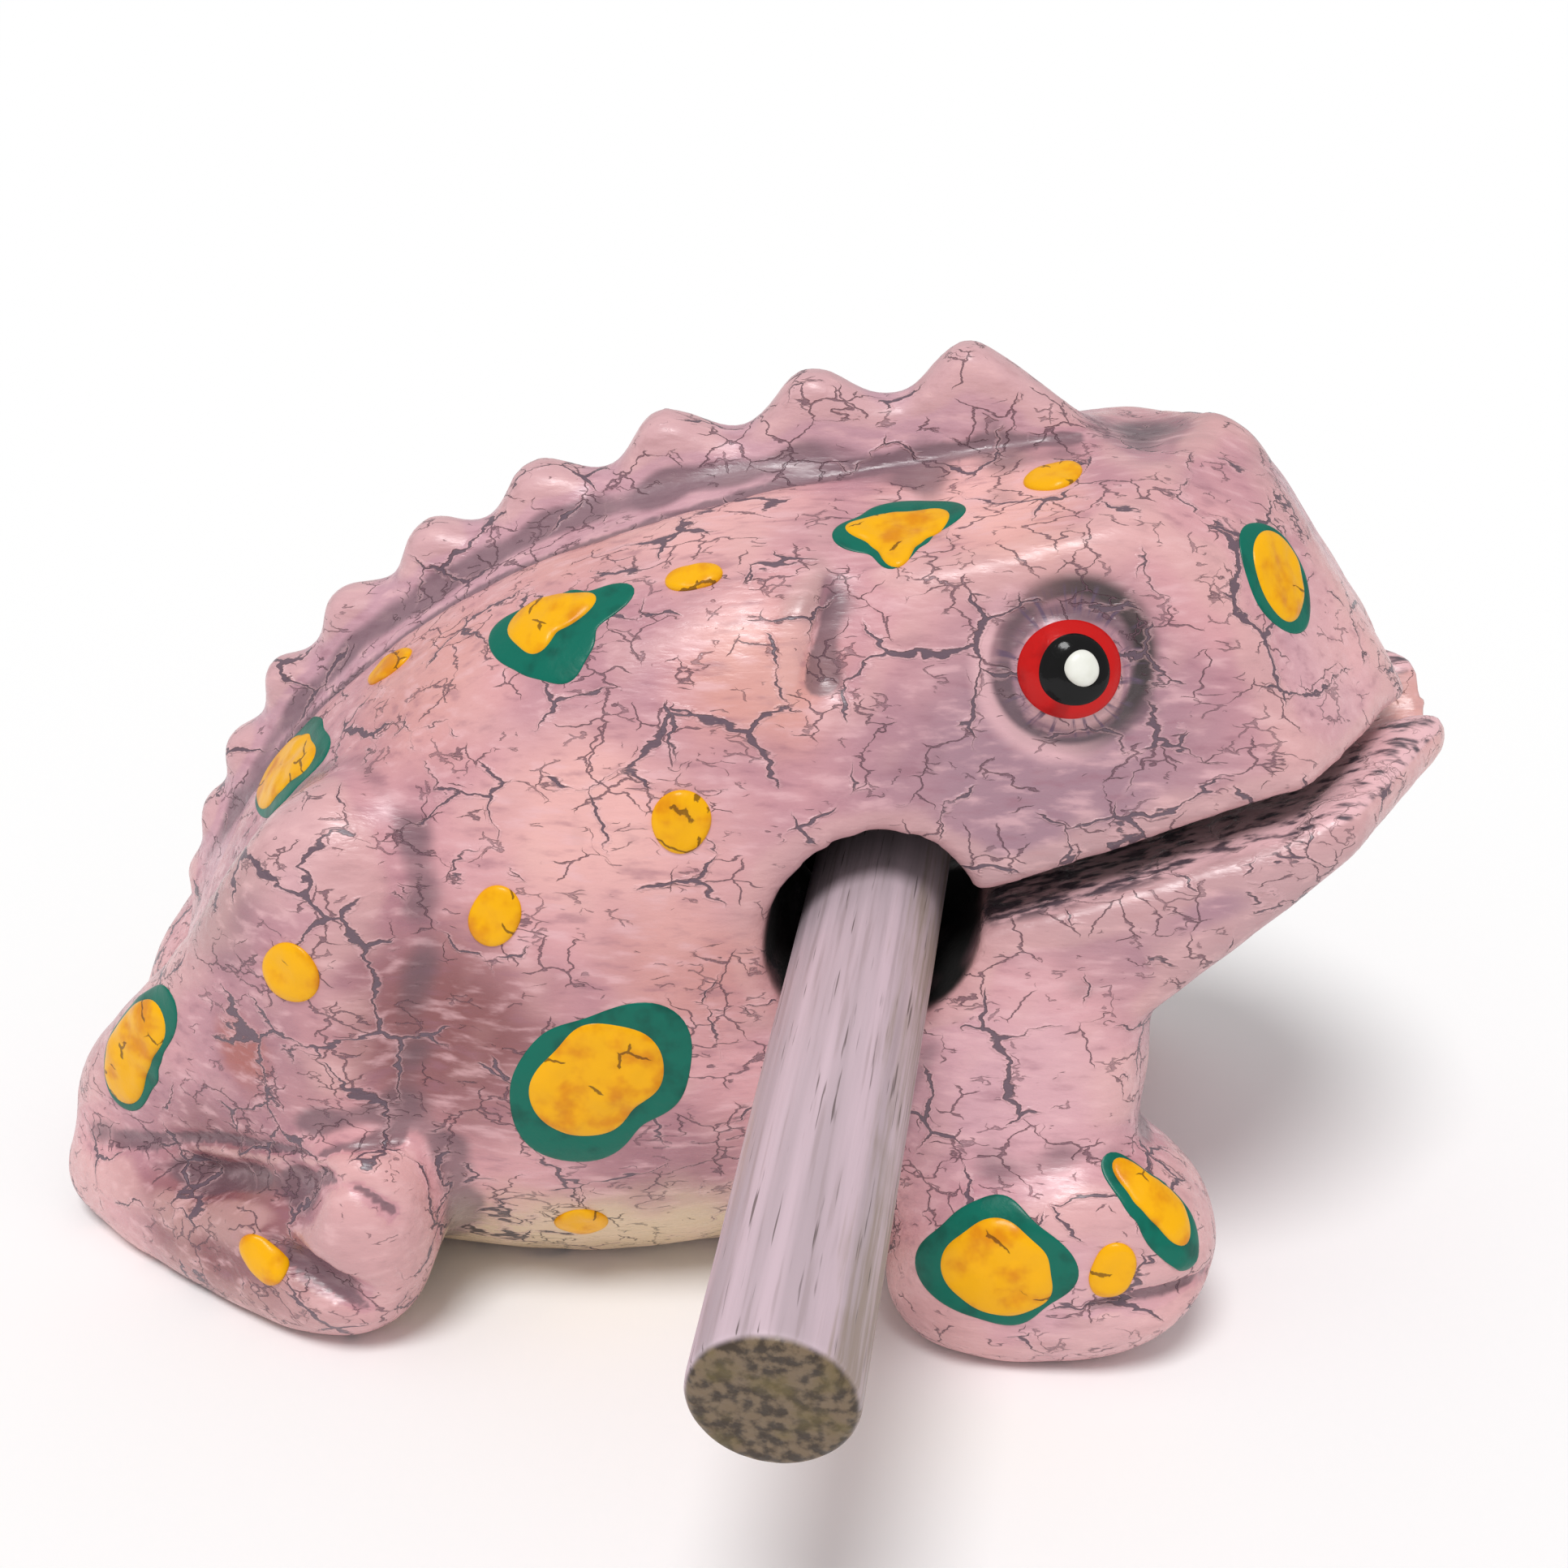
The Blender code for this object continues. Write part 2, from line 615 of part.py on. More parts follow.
def neck_notch_cutter(side, group):
    """Chisel notch with a steep rear wall that runs out toward the cheek."""
    slope = math.atan2(NECK_DEPTH, NECK_RUN)
    y = cheek_y(NECK_X, NECK_Z) - NECK_DEPTH
    past = NECK_RUN + NECK_DEPTH
    bm = block((0.0, 0.0, -NECK_HEIGHT / 2), (past, past, NECK_HEIGHT / 2))
    turn = Matrix.Rotation(slope, 4, "Z") @ Matrix.Rotation(NECK_LEAN, 4, "X")
    bmesh.ops.transform(bm, matrix=Matrix.Translation((NECK_X, y, NECK_Z)) @ turn, verts=bm.verts)
    bmesh.ops.scale(bm, vec=(1.0, side, 1.0), verts=bm.verts)
    return new_object("neck_notch_cutter", mesh_from(bm, "neck_notch_cutter"), group)


def cut(body, cutter, operation="DIFFERENCE"):
    """Boolean by a hidden wire-frame cutter."""
    cutter.hide_render = True
    cutter.display_type = "WIRE"
    step = body.modifiers.new(cutter.name, "BOOLEAN")
    step.operation = operation
    step.solver = "MANIFOLD"
    step.object = cutter


def fuse(body, name):
    """Join the overlapping forms under one even skin."""
    step = body.modifiers.new(name, "REMESH")
    step.mode = "VOXEL"
    step.voxel_size = CARVE_VOXEL


def frog_body(parts, cutters):
    """The carved frog in one piece of wood."""
    rough = [torso(cutters), head(cutters), jaw(cutters), ridge(cutters), belly_keel(cutters)]
    body = join_shells(rough + legs(cutters), "frog_body", parts)
    fuse(body, "Fuse")
    cut(body, mouth_cutter(cutters))
    fuse(body, "Fuse with the mouth")
    sand = body.modifiers.new("Sand", "SMOOTH")
    sand.factor = 0.5
    sand.iterations = CARVE_SMOOTHING
    thin = body.modifiers.new("Thin", "DECIMATE")
    thin.ratio = CARVE_DETAIL
    for side in SIDES:
        cut(body, eye_ring_cutter(side, cutters))
        cut(body, eye_dome(side, cutters), "UNION")
        cut(body, neck_notch_cutter(side, cutters))
        cut(body, foot_hollow_cutter(side, cutters))
        for cutter in toe_groove_cutters(side, cutters):
            cut(body, cutter)
    cut(body, scoop_cutter(cutters))
    cut(body, sole_cutter(cutters))
    cut(body, bore_cutter(cutters))
    cut(body, chamber_cutter(cutters))
    body.data.materials.append(material("crackled_mauve_paint", (0.40, 0.23, 0.28), 0.45))
    return body


def striker_stick(parts):
    """Turned stick, slanted from the near rim of the bore to the far rim."""
    radius = STICK_DIAMETER / 2
    bm = bmesh.new()
    points = [(0.0, STICK_LENGTH / 2)]
    for step in range(5):
        angle = math.pi / 2 * step / 4
        points.append((radius - STICK_RIM + STICK_RIM * math.sin(angle),
                       STICK_LENGTH / 2 - STICK_RIM + STICK_RIM * math.cos(angle)))
    points += [(x, -z) for x, z in reversed(points)]
    verts = [bm.verts.new((x, 0.0, z)) for x, z in points]
    for near, far in zip(verts[:-1], verts[1:]):
        bm.edges.new((near, far))
    mesh = bpy.data.meshes.new("striker_stick")
    bm.to_mesh(mesh)
    bm.free()
    stick = new_object("striker_stick", mesh, parts)
    turn = stick.modifiers.new("Screw", "SCREW")
    turn.axis = "Z"
    turn.steps = STICK_SEGMENTS
    turn.render_steps = STICK_SEGMENTS
    turn.use_merge_vertices = True
    turn.merge_threshold = 0.0001
    play = (BORE_DIAMETER - STICK_DIAMETER) / 2 - STICK_CLEARANCE
    half = cheek_y(BORE_X, BORE_Z)
    near = bore_point(-half) + bore_offset(play, STICK_NEAR_LEAN)
    far = bore_point(half) + bore_offset(play, STICK_FAR_LEAN)
    run = (near - far).normalized()
    end = near + run * ((-STICK_NEAR_REACH - near.y) / run.y)
    stick.location = end - run * STICK_LENGTH / 2
    stick.rotation_euler = run.to_track_quat("Z", "Y").to_euler()
    stick.data.materials.append(material("stick_lilac_paint", (0.44, 0.37, 0.45), 0.55))
    return stick


def main():
    clear_scene()
    parts = new_collection("frog_guiro")
    cutters = new_collection("cutters")
    frog_body(parts, cutters)
    striker_stick(parts)


main()
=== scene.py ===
"""Frog guiro: the painted skin, the dabs, the eyes and the stick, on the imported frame.

Lengths are in metres unless a name ends in MM. The frog looks along +X, its
near side is -Y, and its soles stand on Z = 0.
"""

import logging
import math
from dataclasses import dataclass, field
from enum import Enum

import bpy
import bmesh
import numpy as np
from mathutils import Matrix, Vector


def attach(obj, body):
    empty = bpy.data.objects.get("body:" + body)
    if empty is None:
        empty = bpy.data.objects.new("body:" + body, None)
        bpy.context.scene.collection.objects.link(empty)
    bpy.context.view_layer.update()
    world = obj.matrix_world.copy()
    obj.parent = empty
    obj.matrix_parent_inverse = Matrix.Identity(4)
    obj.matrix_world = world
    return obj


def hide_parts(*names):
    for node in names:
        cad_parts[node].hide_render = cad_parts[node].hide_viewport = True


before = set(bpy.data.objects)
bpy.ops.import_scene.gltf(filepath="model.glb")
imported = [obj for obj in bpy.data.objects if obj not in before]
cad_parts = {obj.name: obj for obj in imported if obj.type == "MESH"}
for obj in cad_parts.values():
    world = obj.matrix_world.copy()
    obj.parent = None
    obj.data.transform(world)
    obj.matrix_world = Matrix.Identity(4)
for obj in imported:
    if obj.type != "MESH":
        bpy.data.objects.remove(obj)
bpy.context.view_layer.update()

LOG = logging.getLogger("frog_guiro")
MM = 0.001
IMAGE_PIXELS = 1932
PATCH_MARGIN = 0.003
PATCH_BLUR = 0.0007
BODY = "root"


class Side(Enum):
    """The two sides of the frog, by the sign of Y."""

    NEAR = -1.0
    FAR = 1.0


def srgb(red: float, green: float, blue: float) -> tuple[float, float, float, float]:
    """Linear colour of a display colour.

    Args:
        red: Red from 0 to 255.
        green: Green from 0 to 255.
        blue: Blue from 0 to 255.

    Returns:
        Linear red, green, blue and an alpha of 1.
    """
    share = np.array([red, green, blue]) / 255.0
    linear = np.where(share <= 0.04045, share / 12.92, ((share + 0.055) / 1.055) ** 2.4)
    return (float(linear[0]), float(linear[1]), float(linear[2]), 1.0)


class Graph:
    """A material's node tree, with a short call for each kind of node."""

    def __init__(self, name: str) -> None:
        """Make the material and find its shader.

        Args:
            name: Name of the material.
        """
        self.material = bpy.data.materials.new(name)
        self.material.use_nodes = True
        self.tree = self.material.node_tree
        self.shader = self.tree.nodes["Principled BSDF"]
        self.place = self.add("ShaderNodeTexCoord").outputs["Object"]

    def add(self, kind: str, **settings: object) -> bpy.types.Node:
        """Add a node and set its properties.

        Args:
            kind: Type of the node.
            **settings: Properties of the node.

        Returns:
            The node.
        """
        node = self.tree.nodes.new(kind)
        for key, value in settings.items():
            setattr(node, key, value)
        return node

    def put(self, socket: bpy.types.NodeSocket, value: object) -> None:
        """Link a socket to another one, or set its value.

        Args:
            socket: Input to fill.
            value: Output socket, number or colour.
        """
        if isinstance(value, bpy.types.NodeSocket):
            self.tree.links.new(value, socket)
        else:
            socket.default_value = value

    def math(self, operation: str, *values: object) -> bpy.types.NodeSocket:
        """One step of arithmetic on numbers.

        Args:
            operation: Name of the operation.
            *values: Inputs in order.

        Returns:
            The result.
        """
        node = self.add("ShaderNodeMath", operation=operation)
        for socket, value in zip(node.inputs, values):
            self.put(socket, value)
        return node.outputs[0]

    def vector(self, operation: str, *values: object) -> bpy.types.NodeSocket:
        """One step of arithmetic on vectors.

        Args:
            operation: Name of the operation.
            *values: Inputs in order.

        Returns:
            The vector, or the number where the operation gives one.
        """
        node = self.add("ShaderNodeVectorMath", operation=operation)
        for socket, value in zip(node.inputs, values):
            self.put(socket, value)
        return node.outputs["Value" if operation in ("DISTANCE", "LENGTH", "DOT_PRODUCT") else "Vector"]

    def scaled(self, source: bpy.types.NodeSocket, factor: float) -> bpy.types.NodeSocket:
        """A vector times a number."""
        node = self.add("ShaderNodeVectorMath", operation="SCALE")
        self.put(node.inputs[0], source)
        node.inputs["Scale"].default_value = factor
        return node.outputs["Vector"]

    def mix(self, share: object, first: object, second: object, blend: str = "MIX") -> bpy.types.NodeSocket:
        """Blend two colours.

        Args:
            share: Share of the second one.
            first: Colour or socket.
            second: Colour or socket.
            blend: Name of the blend.

        Returns:
            The blended colour.
        """
        node = self.add("ShaderNodeMix", data_type="RGBA", blend_type=blend)
        self.put(node.inputs[0], share)
        self.put(node.inputs[6], first)
        self.put(node.inputs[7], second)
        return node.outputs[2]

    def band(self, value: bpy.types.NodeSocket, low: object, high: object, start: float = 0.0,
             end: float = 1.0) -> bpy.types.NodeSocket:
        """Smooth step of a value between two limits.

        Args:
            value: Value to map.
            low: Value that gives start.
            high: Value that gives end.
            start: Result at and before low.
            end: Result at and past high.

        Returns:
            The mapped value.
        """
        node = self.add("ShaderNodeMapRange", interpolation_type="SMOOTHSTEP")
        self.put(node.inputs["Value"], value)
        self.put(node.inputs["From Min"], low)
        self.put(node.inputs["From Max"], high)
        node.inputs["To Min"].default_value = start
        node.inputs["To Max"].default_value = end
        return node.outputs["Result"]

    def noise(self, place: bpy.types.NodeSocket, size: float, detail: float = 2.0,
              output: str = "Fac") -> bpy.types.NodeSocket:
        """Cloud noise whose lumps have a given size.

        Args:
            place: Coordinates in metres.
            size: Size of a lump in metres.
            detail: Octaves of finer noise.
            output: "Fac" or "Color".

        Returns:
            The noise, near 0.5 on average.
        """
        node = self.add("ShaderNodeTexNoise")
        self.put(node.inputs["Vector"], place)
        node.inputs["Scale"].default_value = 1.0 / size
        node.inputs["Detail"].default_value = detail
        return node.outputs[output]

    def cells(self, place: bpy.types.NodeSocket, size: float,
              feature: str = "DISTANCE_TO_EDGE") -> bpy.types.NodeSocket:
        """Distance to the border of random cells.

        Args:
            place: Coordinates in metres.
            size: Size of a cell in metres.
            feature: Feature of the cells to give.

        Returns:
            The distance as a share of the size, or the cell's colour.
        """
        node = self.add("ShaderNodeTexVoronoi", feature=feature)
        self.put(node.inputs["Vector"], place)
        node.inputs["Scale"].default_value = 1.0 / size
        return node.outputs["Distance" if feature == "DISTANCE_TO_EDGE" else "Color"]

    def shaken(self, place: bpy.types.NodeSocket, size: float, reach: float,
               detail: float = 2.0) -> bpy.types.NodeSocket:
        """Coordinates pushed about by noise, so that lines on them run ragged.

        Args:
            place: Coordinates in metres.
            size: Size of the noise's lumps in metres.
            reach: How far a point is pushed in metres.
            detail: Octaves of finer noise.

        Returns:
            The new coordinates.
        """
        push = self.vector("SUBTRACT", self.noise(place, size, detail, "Color"), (0.5, 0.5, 0.5))
        return self.vector("ADD", place, self.scaled(push, 2.0 * reach))

    def stretched(self, scale: tuple[float, float, float]) -> bpy.types.NodeSocket:
        """Object coordinates times a factor on each axis."""
        node = self.add("ShaderNodeMapping")
        self.put(node.inputs["Vector"], self.place)
        node.inputs["Scale"].default_value = scale
        return node.outputs["Vector"]

    def bump(self, height: object, depth: float, below: object = None) -> bpy.types.NodeSocket:
        """Relief of a height from 0 to 1.

        Args:
            height: Height as a number from 0 to 1.
            depth: Height in metres that 1 stands for.
            below: Normal of the coarser relief under it.

        Returns:
            The bent normal.
        """
        node = self.add("ShaderNodeBump")
        node.inputs["Strength"].default_value = 1.0
        node.inputs["Distance"].default_value = depth
        self.put(node.inputs["Height"], height)
        if below is not None:
            self.put(node.inputs["Normal"], below)
        return node.outputs["Normal"]

    def finish(self, color: object, roughness: object, normal: object = None, coat: float = 0.0,
               coat_roughness: float = 0.2, specular: float = 0.5) -> bpy.types.Material:
        """Fill the shader's sockets.

        Args:
            color: Base colour.
            roughness: Roughness.
            normal: Bent normal.
            coat: Weight of the varnish.
            coat_roughness: Roughness of the varnish.
            specular: Specular level.

        Returns:
            The finished material.
        """
        self.put(self.shader.inputs["Base Color"], color)
        self.put(self.shader.inputs["Roughness"], roughness)
        self.shader.inputs["Coat Weight"].default_value = coat
        self.shader.inputs["Coat Roughness"].default_value = coat_roughness
        self.shader.inputs["Specular IOR Level"].default_value = specular
        if normal is not None:
            self.put(self.shader.inputs["Normal"], normal)
        return self.material


def mesh_of(name: str, points: np.ndarray, faces: list[tuple[int, ...]]) -> bpy.types.Object:
    """A smooth-shaded object at the origin from points and faces.

    Args:
        name: Name of the object.
        points: Points as rows of x, y and z.
        faces: Faces as tuples of point numbers.

    Returns:
        The object, linked to the scene.
    """
    mesh = bpy.data.meshes.new(name)
    mesh.from_pydata(points.tolist(), [], faces)
    mesh.validate()
    mesh.shade_smooth()
    item = bpy.data.objects.new(name, mesh)
    bpy.context.scene.collection.objects.link(item)
    return item


def closed_rows(rows: np.ndarray, first: np.ndarray, last: np.ndarray) -> tuple[np.ndarray, list]:
    """Closed skin over rings of points, with a pole at each end.

    Every ring is joined to the next by four-sided faces, and each end ring to
    its pole by triangles. Rings that turn anticlockwise seen from the first
    pole give faces that look outward.

    Args:
        rows: Points as rings x points x 3.
        first: Pole before the first ring.
        last: Pole after the last ring.

    Returns:
        All the points, and the faces.
    """
    rings, count = rows.shape[:2]
    ring, step = np.meshgrid(np.arange(rings - 1), np.arange(count), indexing="ij")
    after = (step + 1) % count
    quads = np.stack([ring * count + step, (ring + 1) * count + step,
                      (ring + 1) * count + after, ring * count + after], axis=-1).reshape(-1, 4)
    around = np.arange(count)
    ahead = (around + 1) % count
    top = np.stack([np.full(count, rings * count), around, ahead], axis=-1)
    base = (rings - 1) * count
    bottom = np.stack([np.full(count, rings * count + 1), base + ahead, base + around], axis=-1)
    points = np.vstack([rows.reshape(-1, 3), first[None], last[None]])
    return points, quads.tolist() + top.tolist() + bottom.tolist()


def waves(points: np.ndarray, size: float, count: int, seed: int) -> np.ndarray:
    """Smooth random height at points: a mean of plane waves in random directions.

    Args:
        points: Points as rows.
        size: Mean wavelength in metres.
        count: Number of waves.
        seed: Seed of the directions and phases.

    Returns:
        One height for each point, mostly from -1 to 1.
    """
    random = np.random.default_rng(seed)
    ways = random.normal(size=(count, 3))
    ways /= np.linalg.norm(ways, axis=1)[:, None]
    lengths = size * random.uniform(0.7, 1.4, count)
    phases = random.uniform(0.0, 2 * math.pi, count)
    turns = 2 * math.pi * points @ (ways / lengths[:, None]).T + phases
    return np.sin(turns).sum(axis=1) / math.sqrt(count)


@dataclass
class Surface:
    """Points and normals of the finished skin, to set paint on."""

    points: np.ndarray
    normals: np.ndarray

    def drop(self, centre: np.ndarray, out: np.ndarray, flat: np.ndarray) -> tuple[np.ndarray, np.ndarray]:
        """Drop flat points onto the skin along one direction.

        The height of a point is the weighted mean, over the skin's points near
        it, of their height plus their slope times the way to the point. The
        weight falls off as a Gaussian of the distance in the plane.

        Args:
            centre: Middle of the flat patch.
            out: Direction away from the skin.
            flat: Points of the flat patch as rows.

        Returns:
            The points on the skin, and the skin's normals there.
        """
        reach = np.linalg.norm(flat - centre, axis=1).max() + PATCH_MARGIN
        close = np.linalg.norm(self.points - centre, axis=1) < reach * 1.3
        close &= self.normals @ out > 0.15
        points = self.points[close] - centre
        normals = self.normals[close]
        heights = points @ out
        foot = points - heights[:, None] * out
        slopes = -(normals - (normals @ out)[:, None] * out) / np.maximum(normals @ out, 0.2)[:, None]
        spots = flat - centre
        spots = spots - (spots @ out)[:, None] * out
        gap = spots[:, None, :] - foot[None, :, :]
        weight = np.exp(-(gap ** 2).sum(axis=2) / (2 * PATCH_BLUR ** 2)) + 1e-12
        lift = heights[None, :] + (gap * slopes[None, :, :]).sum(axis=2)
        total = weight.sum(axis=1)
        height = (weight * lift).sum(axis=1) / total
        normal = weight @ normals
        normal /= np.linalg.norm(normal, axis=1)[:, None]
        return centre + spots + height[:, None] * out, normal


@dataclass(frozen=True)
class Tint:
    """A soft spot of colour on one side; the list holds airbrushed paint, painted highlights and painted shade. The
    middle is (X, distance out, Z).
    """

    colour: tuple
    middle_mm: tuple[float, float, float]
    radius_mm: float
    strength: float


PEACH = srgb(226, 162, 150)
ROSE = srgb(150, 98, 108)
RUST = srgb(172, 92, 80)
SHADE = srgb(112, 88, 96)
GREY = srgb(168, 130, 144)
PALE = srgb(222, 176, 186)
# Dark rose laid as painted shade in the crease between thigh and belly and over the hind foot
DEEP_ROSE_SHADE = srgb(140, 84, 86)
# Painted highlight: lightens the top of the head and back, the snout and the flank where the light from above falls
PAINTED_HIGHLIGHT = srgb(250, 192, 186)
AIRBRUSH_AND_PAINTED_LIGHT = (
    Tint(PEACH, (0.3, 30.3, 77.5), 12.0, 0.80),
    Tint(PEACH, (26.0, 19.5, 89.0), 10.0, 0.75),
    Tint(PEACH, (-6.5, 36.0, 47.0), 14.0, 0.60),
    Tint(PEACH, (73.0, 6.0, 59.0), 10.0, 0.85),
    Tint(PEACH, (-22.0, 12.0, 88.0), 15.0, 0.50),
    # The paint's dark rose, partly painted shade in the crease between thigh and belly
    Tint(ROSE, (-31.0, 38.0, 37.0), 15.0, 0.75),
    Tint(ROSE, (-18.0, 36.0, 62.0), 11.0, 0.45),
    Tint(ROSE, (-50.0, 37.0, 33.0), 13.0, 0.40),
    Tint(RUST, (-54.6, 35.0, 32.5), 6.0, 0.80),
    Tint(RUST, (-30.5, 38.4, 41.2), 6.0, 0.50),
    Tint(SHADE, (-56.4, 30.0, 51.0), 12.0, 0.60),
    Tint(SHADE, (6.0, 25.0, 85.0), 5.0, 0.65),
    Tint(SHADE, (37.5, 27.0, 84.0), 7.0, 0.30),
    Tint(SHADE, (41.2, 0.0, 95.0), 9.0, 0.45),
    Tint(SHADE, (-60.0, 36.0, 17.0), 9.0, 0.50),
    Tint(GREY, (30.0, 30.0, 67.0), 25.0, 0.95),
    Tint(GREY, (4.0, 34.0, 56.0), 10.0, 0.50),
    Tint(PALE, (60.0, 14.0, 76.0), 15.0, 0.60),
    Tint(PALE, (29.0, 36.0, 33.0), 17.0, 0.65),
    Tint(PALE, (36.0, 42.0, 10.0), 14.0, 0.60),
    # Painted highlight on the thigh
    Tint(PALE, (-48.0, 34.0, 58.0), 9.0, 0.55),
    # Painted highlight on the flank
    Tint(PAINTED_HIGHLIGHT, (-17.0, 35.5, 63.0), 14.0, 0.80),
    Tint(PEACH, (-36.0, 22.0, 74.0), 16.0, 0.55),
    # Painted shade over the hind foot's cove, in the paint's rose
    Tint(ROSE, (-56.0, 38.0, 12.0), 19.0, 0.85),
    Tint(ROSE, (-8.0, 40.0, 22.0), 14.0, 0.55),
    Tint(GREY, (30.0, 30.0, 56.0), 13.0, 0.70),
    # Painted shade in the crease between thigh and belly
    Tint(DEEP_ROSE_SHADE, (-31.0, 38.0, 40.0), 17.0, 0.95),
    Tint(GREY, (52.0, 22.0, 52.0), 24.0, 0.95),
    # Painted shade over the hind foot
    Tint(DEEP_ROSE_SHADE, (-60.0, 36.0, 10.0), 19.0, 0.85),
    # Painted highlights on the top of the head and back, the flank and the snout
    Tint(PAINTED_HIGHLIGHT, (22.0, 14.0, 92.0), 14.0, 0.85),
    Tint(PAINTED_HIGHLIGHT, (-8.0, 36.0, 58.0), 13.0, 0.45),
    Tint(PAINTED_HIGHLIGHT, (-6.0, 14.0, 88.0), 15.0, 0.60),
    Tint(PAINTED_HIGHLIGHT, (62.0, 10.0, 78.0), 13.0, 0.45),
)

# Seam at the foot of the toothed ridge, as (X, distance out, Z)
SEAM_MM = ((33.2, 4.6, 96.1), (22.9, 4.7, 94.6), (13.3, 5.0, 92.6), (4.6, 6.4, 90.9), (-4.0, 8.7, 89.3),
           (-12.6, 10.2, 86.9), (-17.8, 10.8, 85.1), (-26.0, 10.2, 81.7), (-34.3, 9.9, 77.0),
           (-41.8, 9.7, 71.4), (-47.7, 9.1, 66.0), (-55.4, 7.6, 57.7), (-60.5, 6.6, 49.0))

# Holes of the solid: bore axis at the near cheek, its run, and the mouth plane
BORE_X = 0.013
BORE_Z = 0.050
BORE_HALF = 0.0354
BORE_TOE = math.tan(math.radians(3.2))
BORE_DROP = math.tan(math.radians(3.0))
BORE_RADIUS = 0.011
MOUTH_ANGLE = math.radians(17.9)
MOUTH_DROP = 0.0017
MOUTH_HALF = 0.0019
CHAMBER_RADIUS = 0.008
CHAMBER_END = -0.036

# Lower lip: where it starts to swell, where it swells in full, and how deep
LIP_START = 0.048
LIP_END = 0.0715
LIP_DEPTH = 0.0045

# Middle of an eye's dome in the side view, and the dome's radius
EYE_X = 0.0323
EYE_Z = 0.0785
EYE_RADIUS = 0.0066


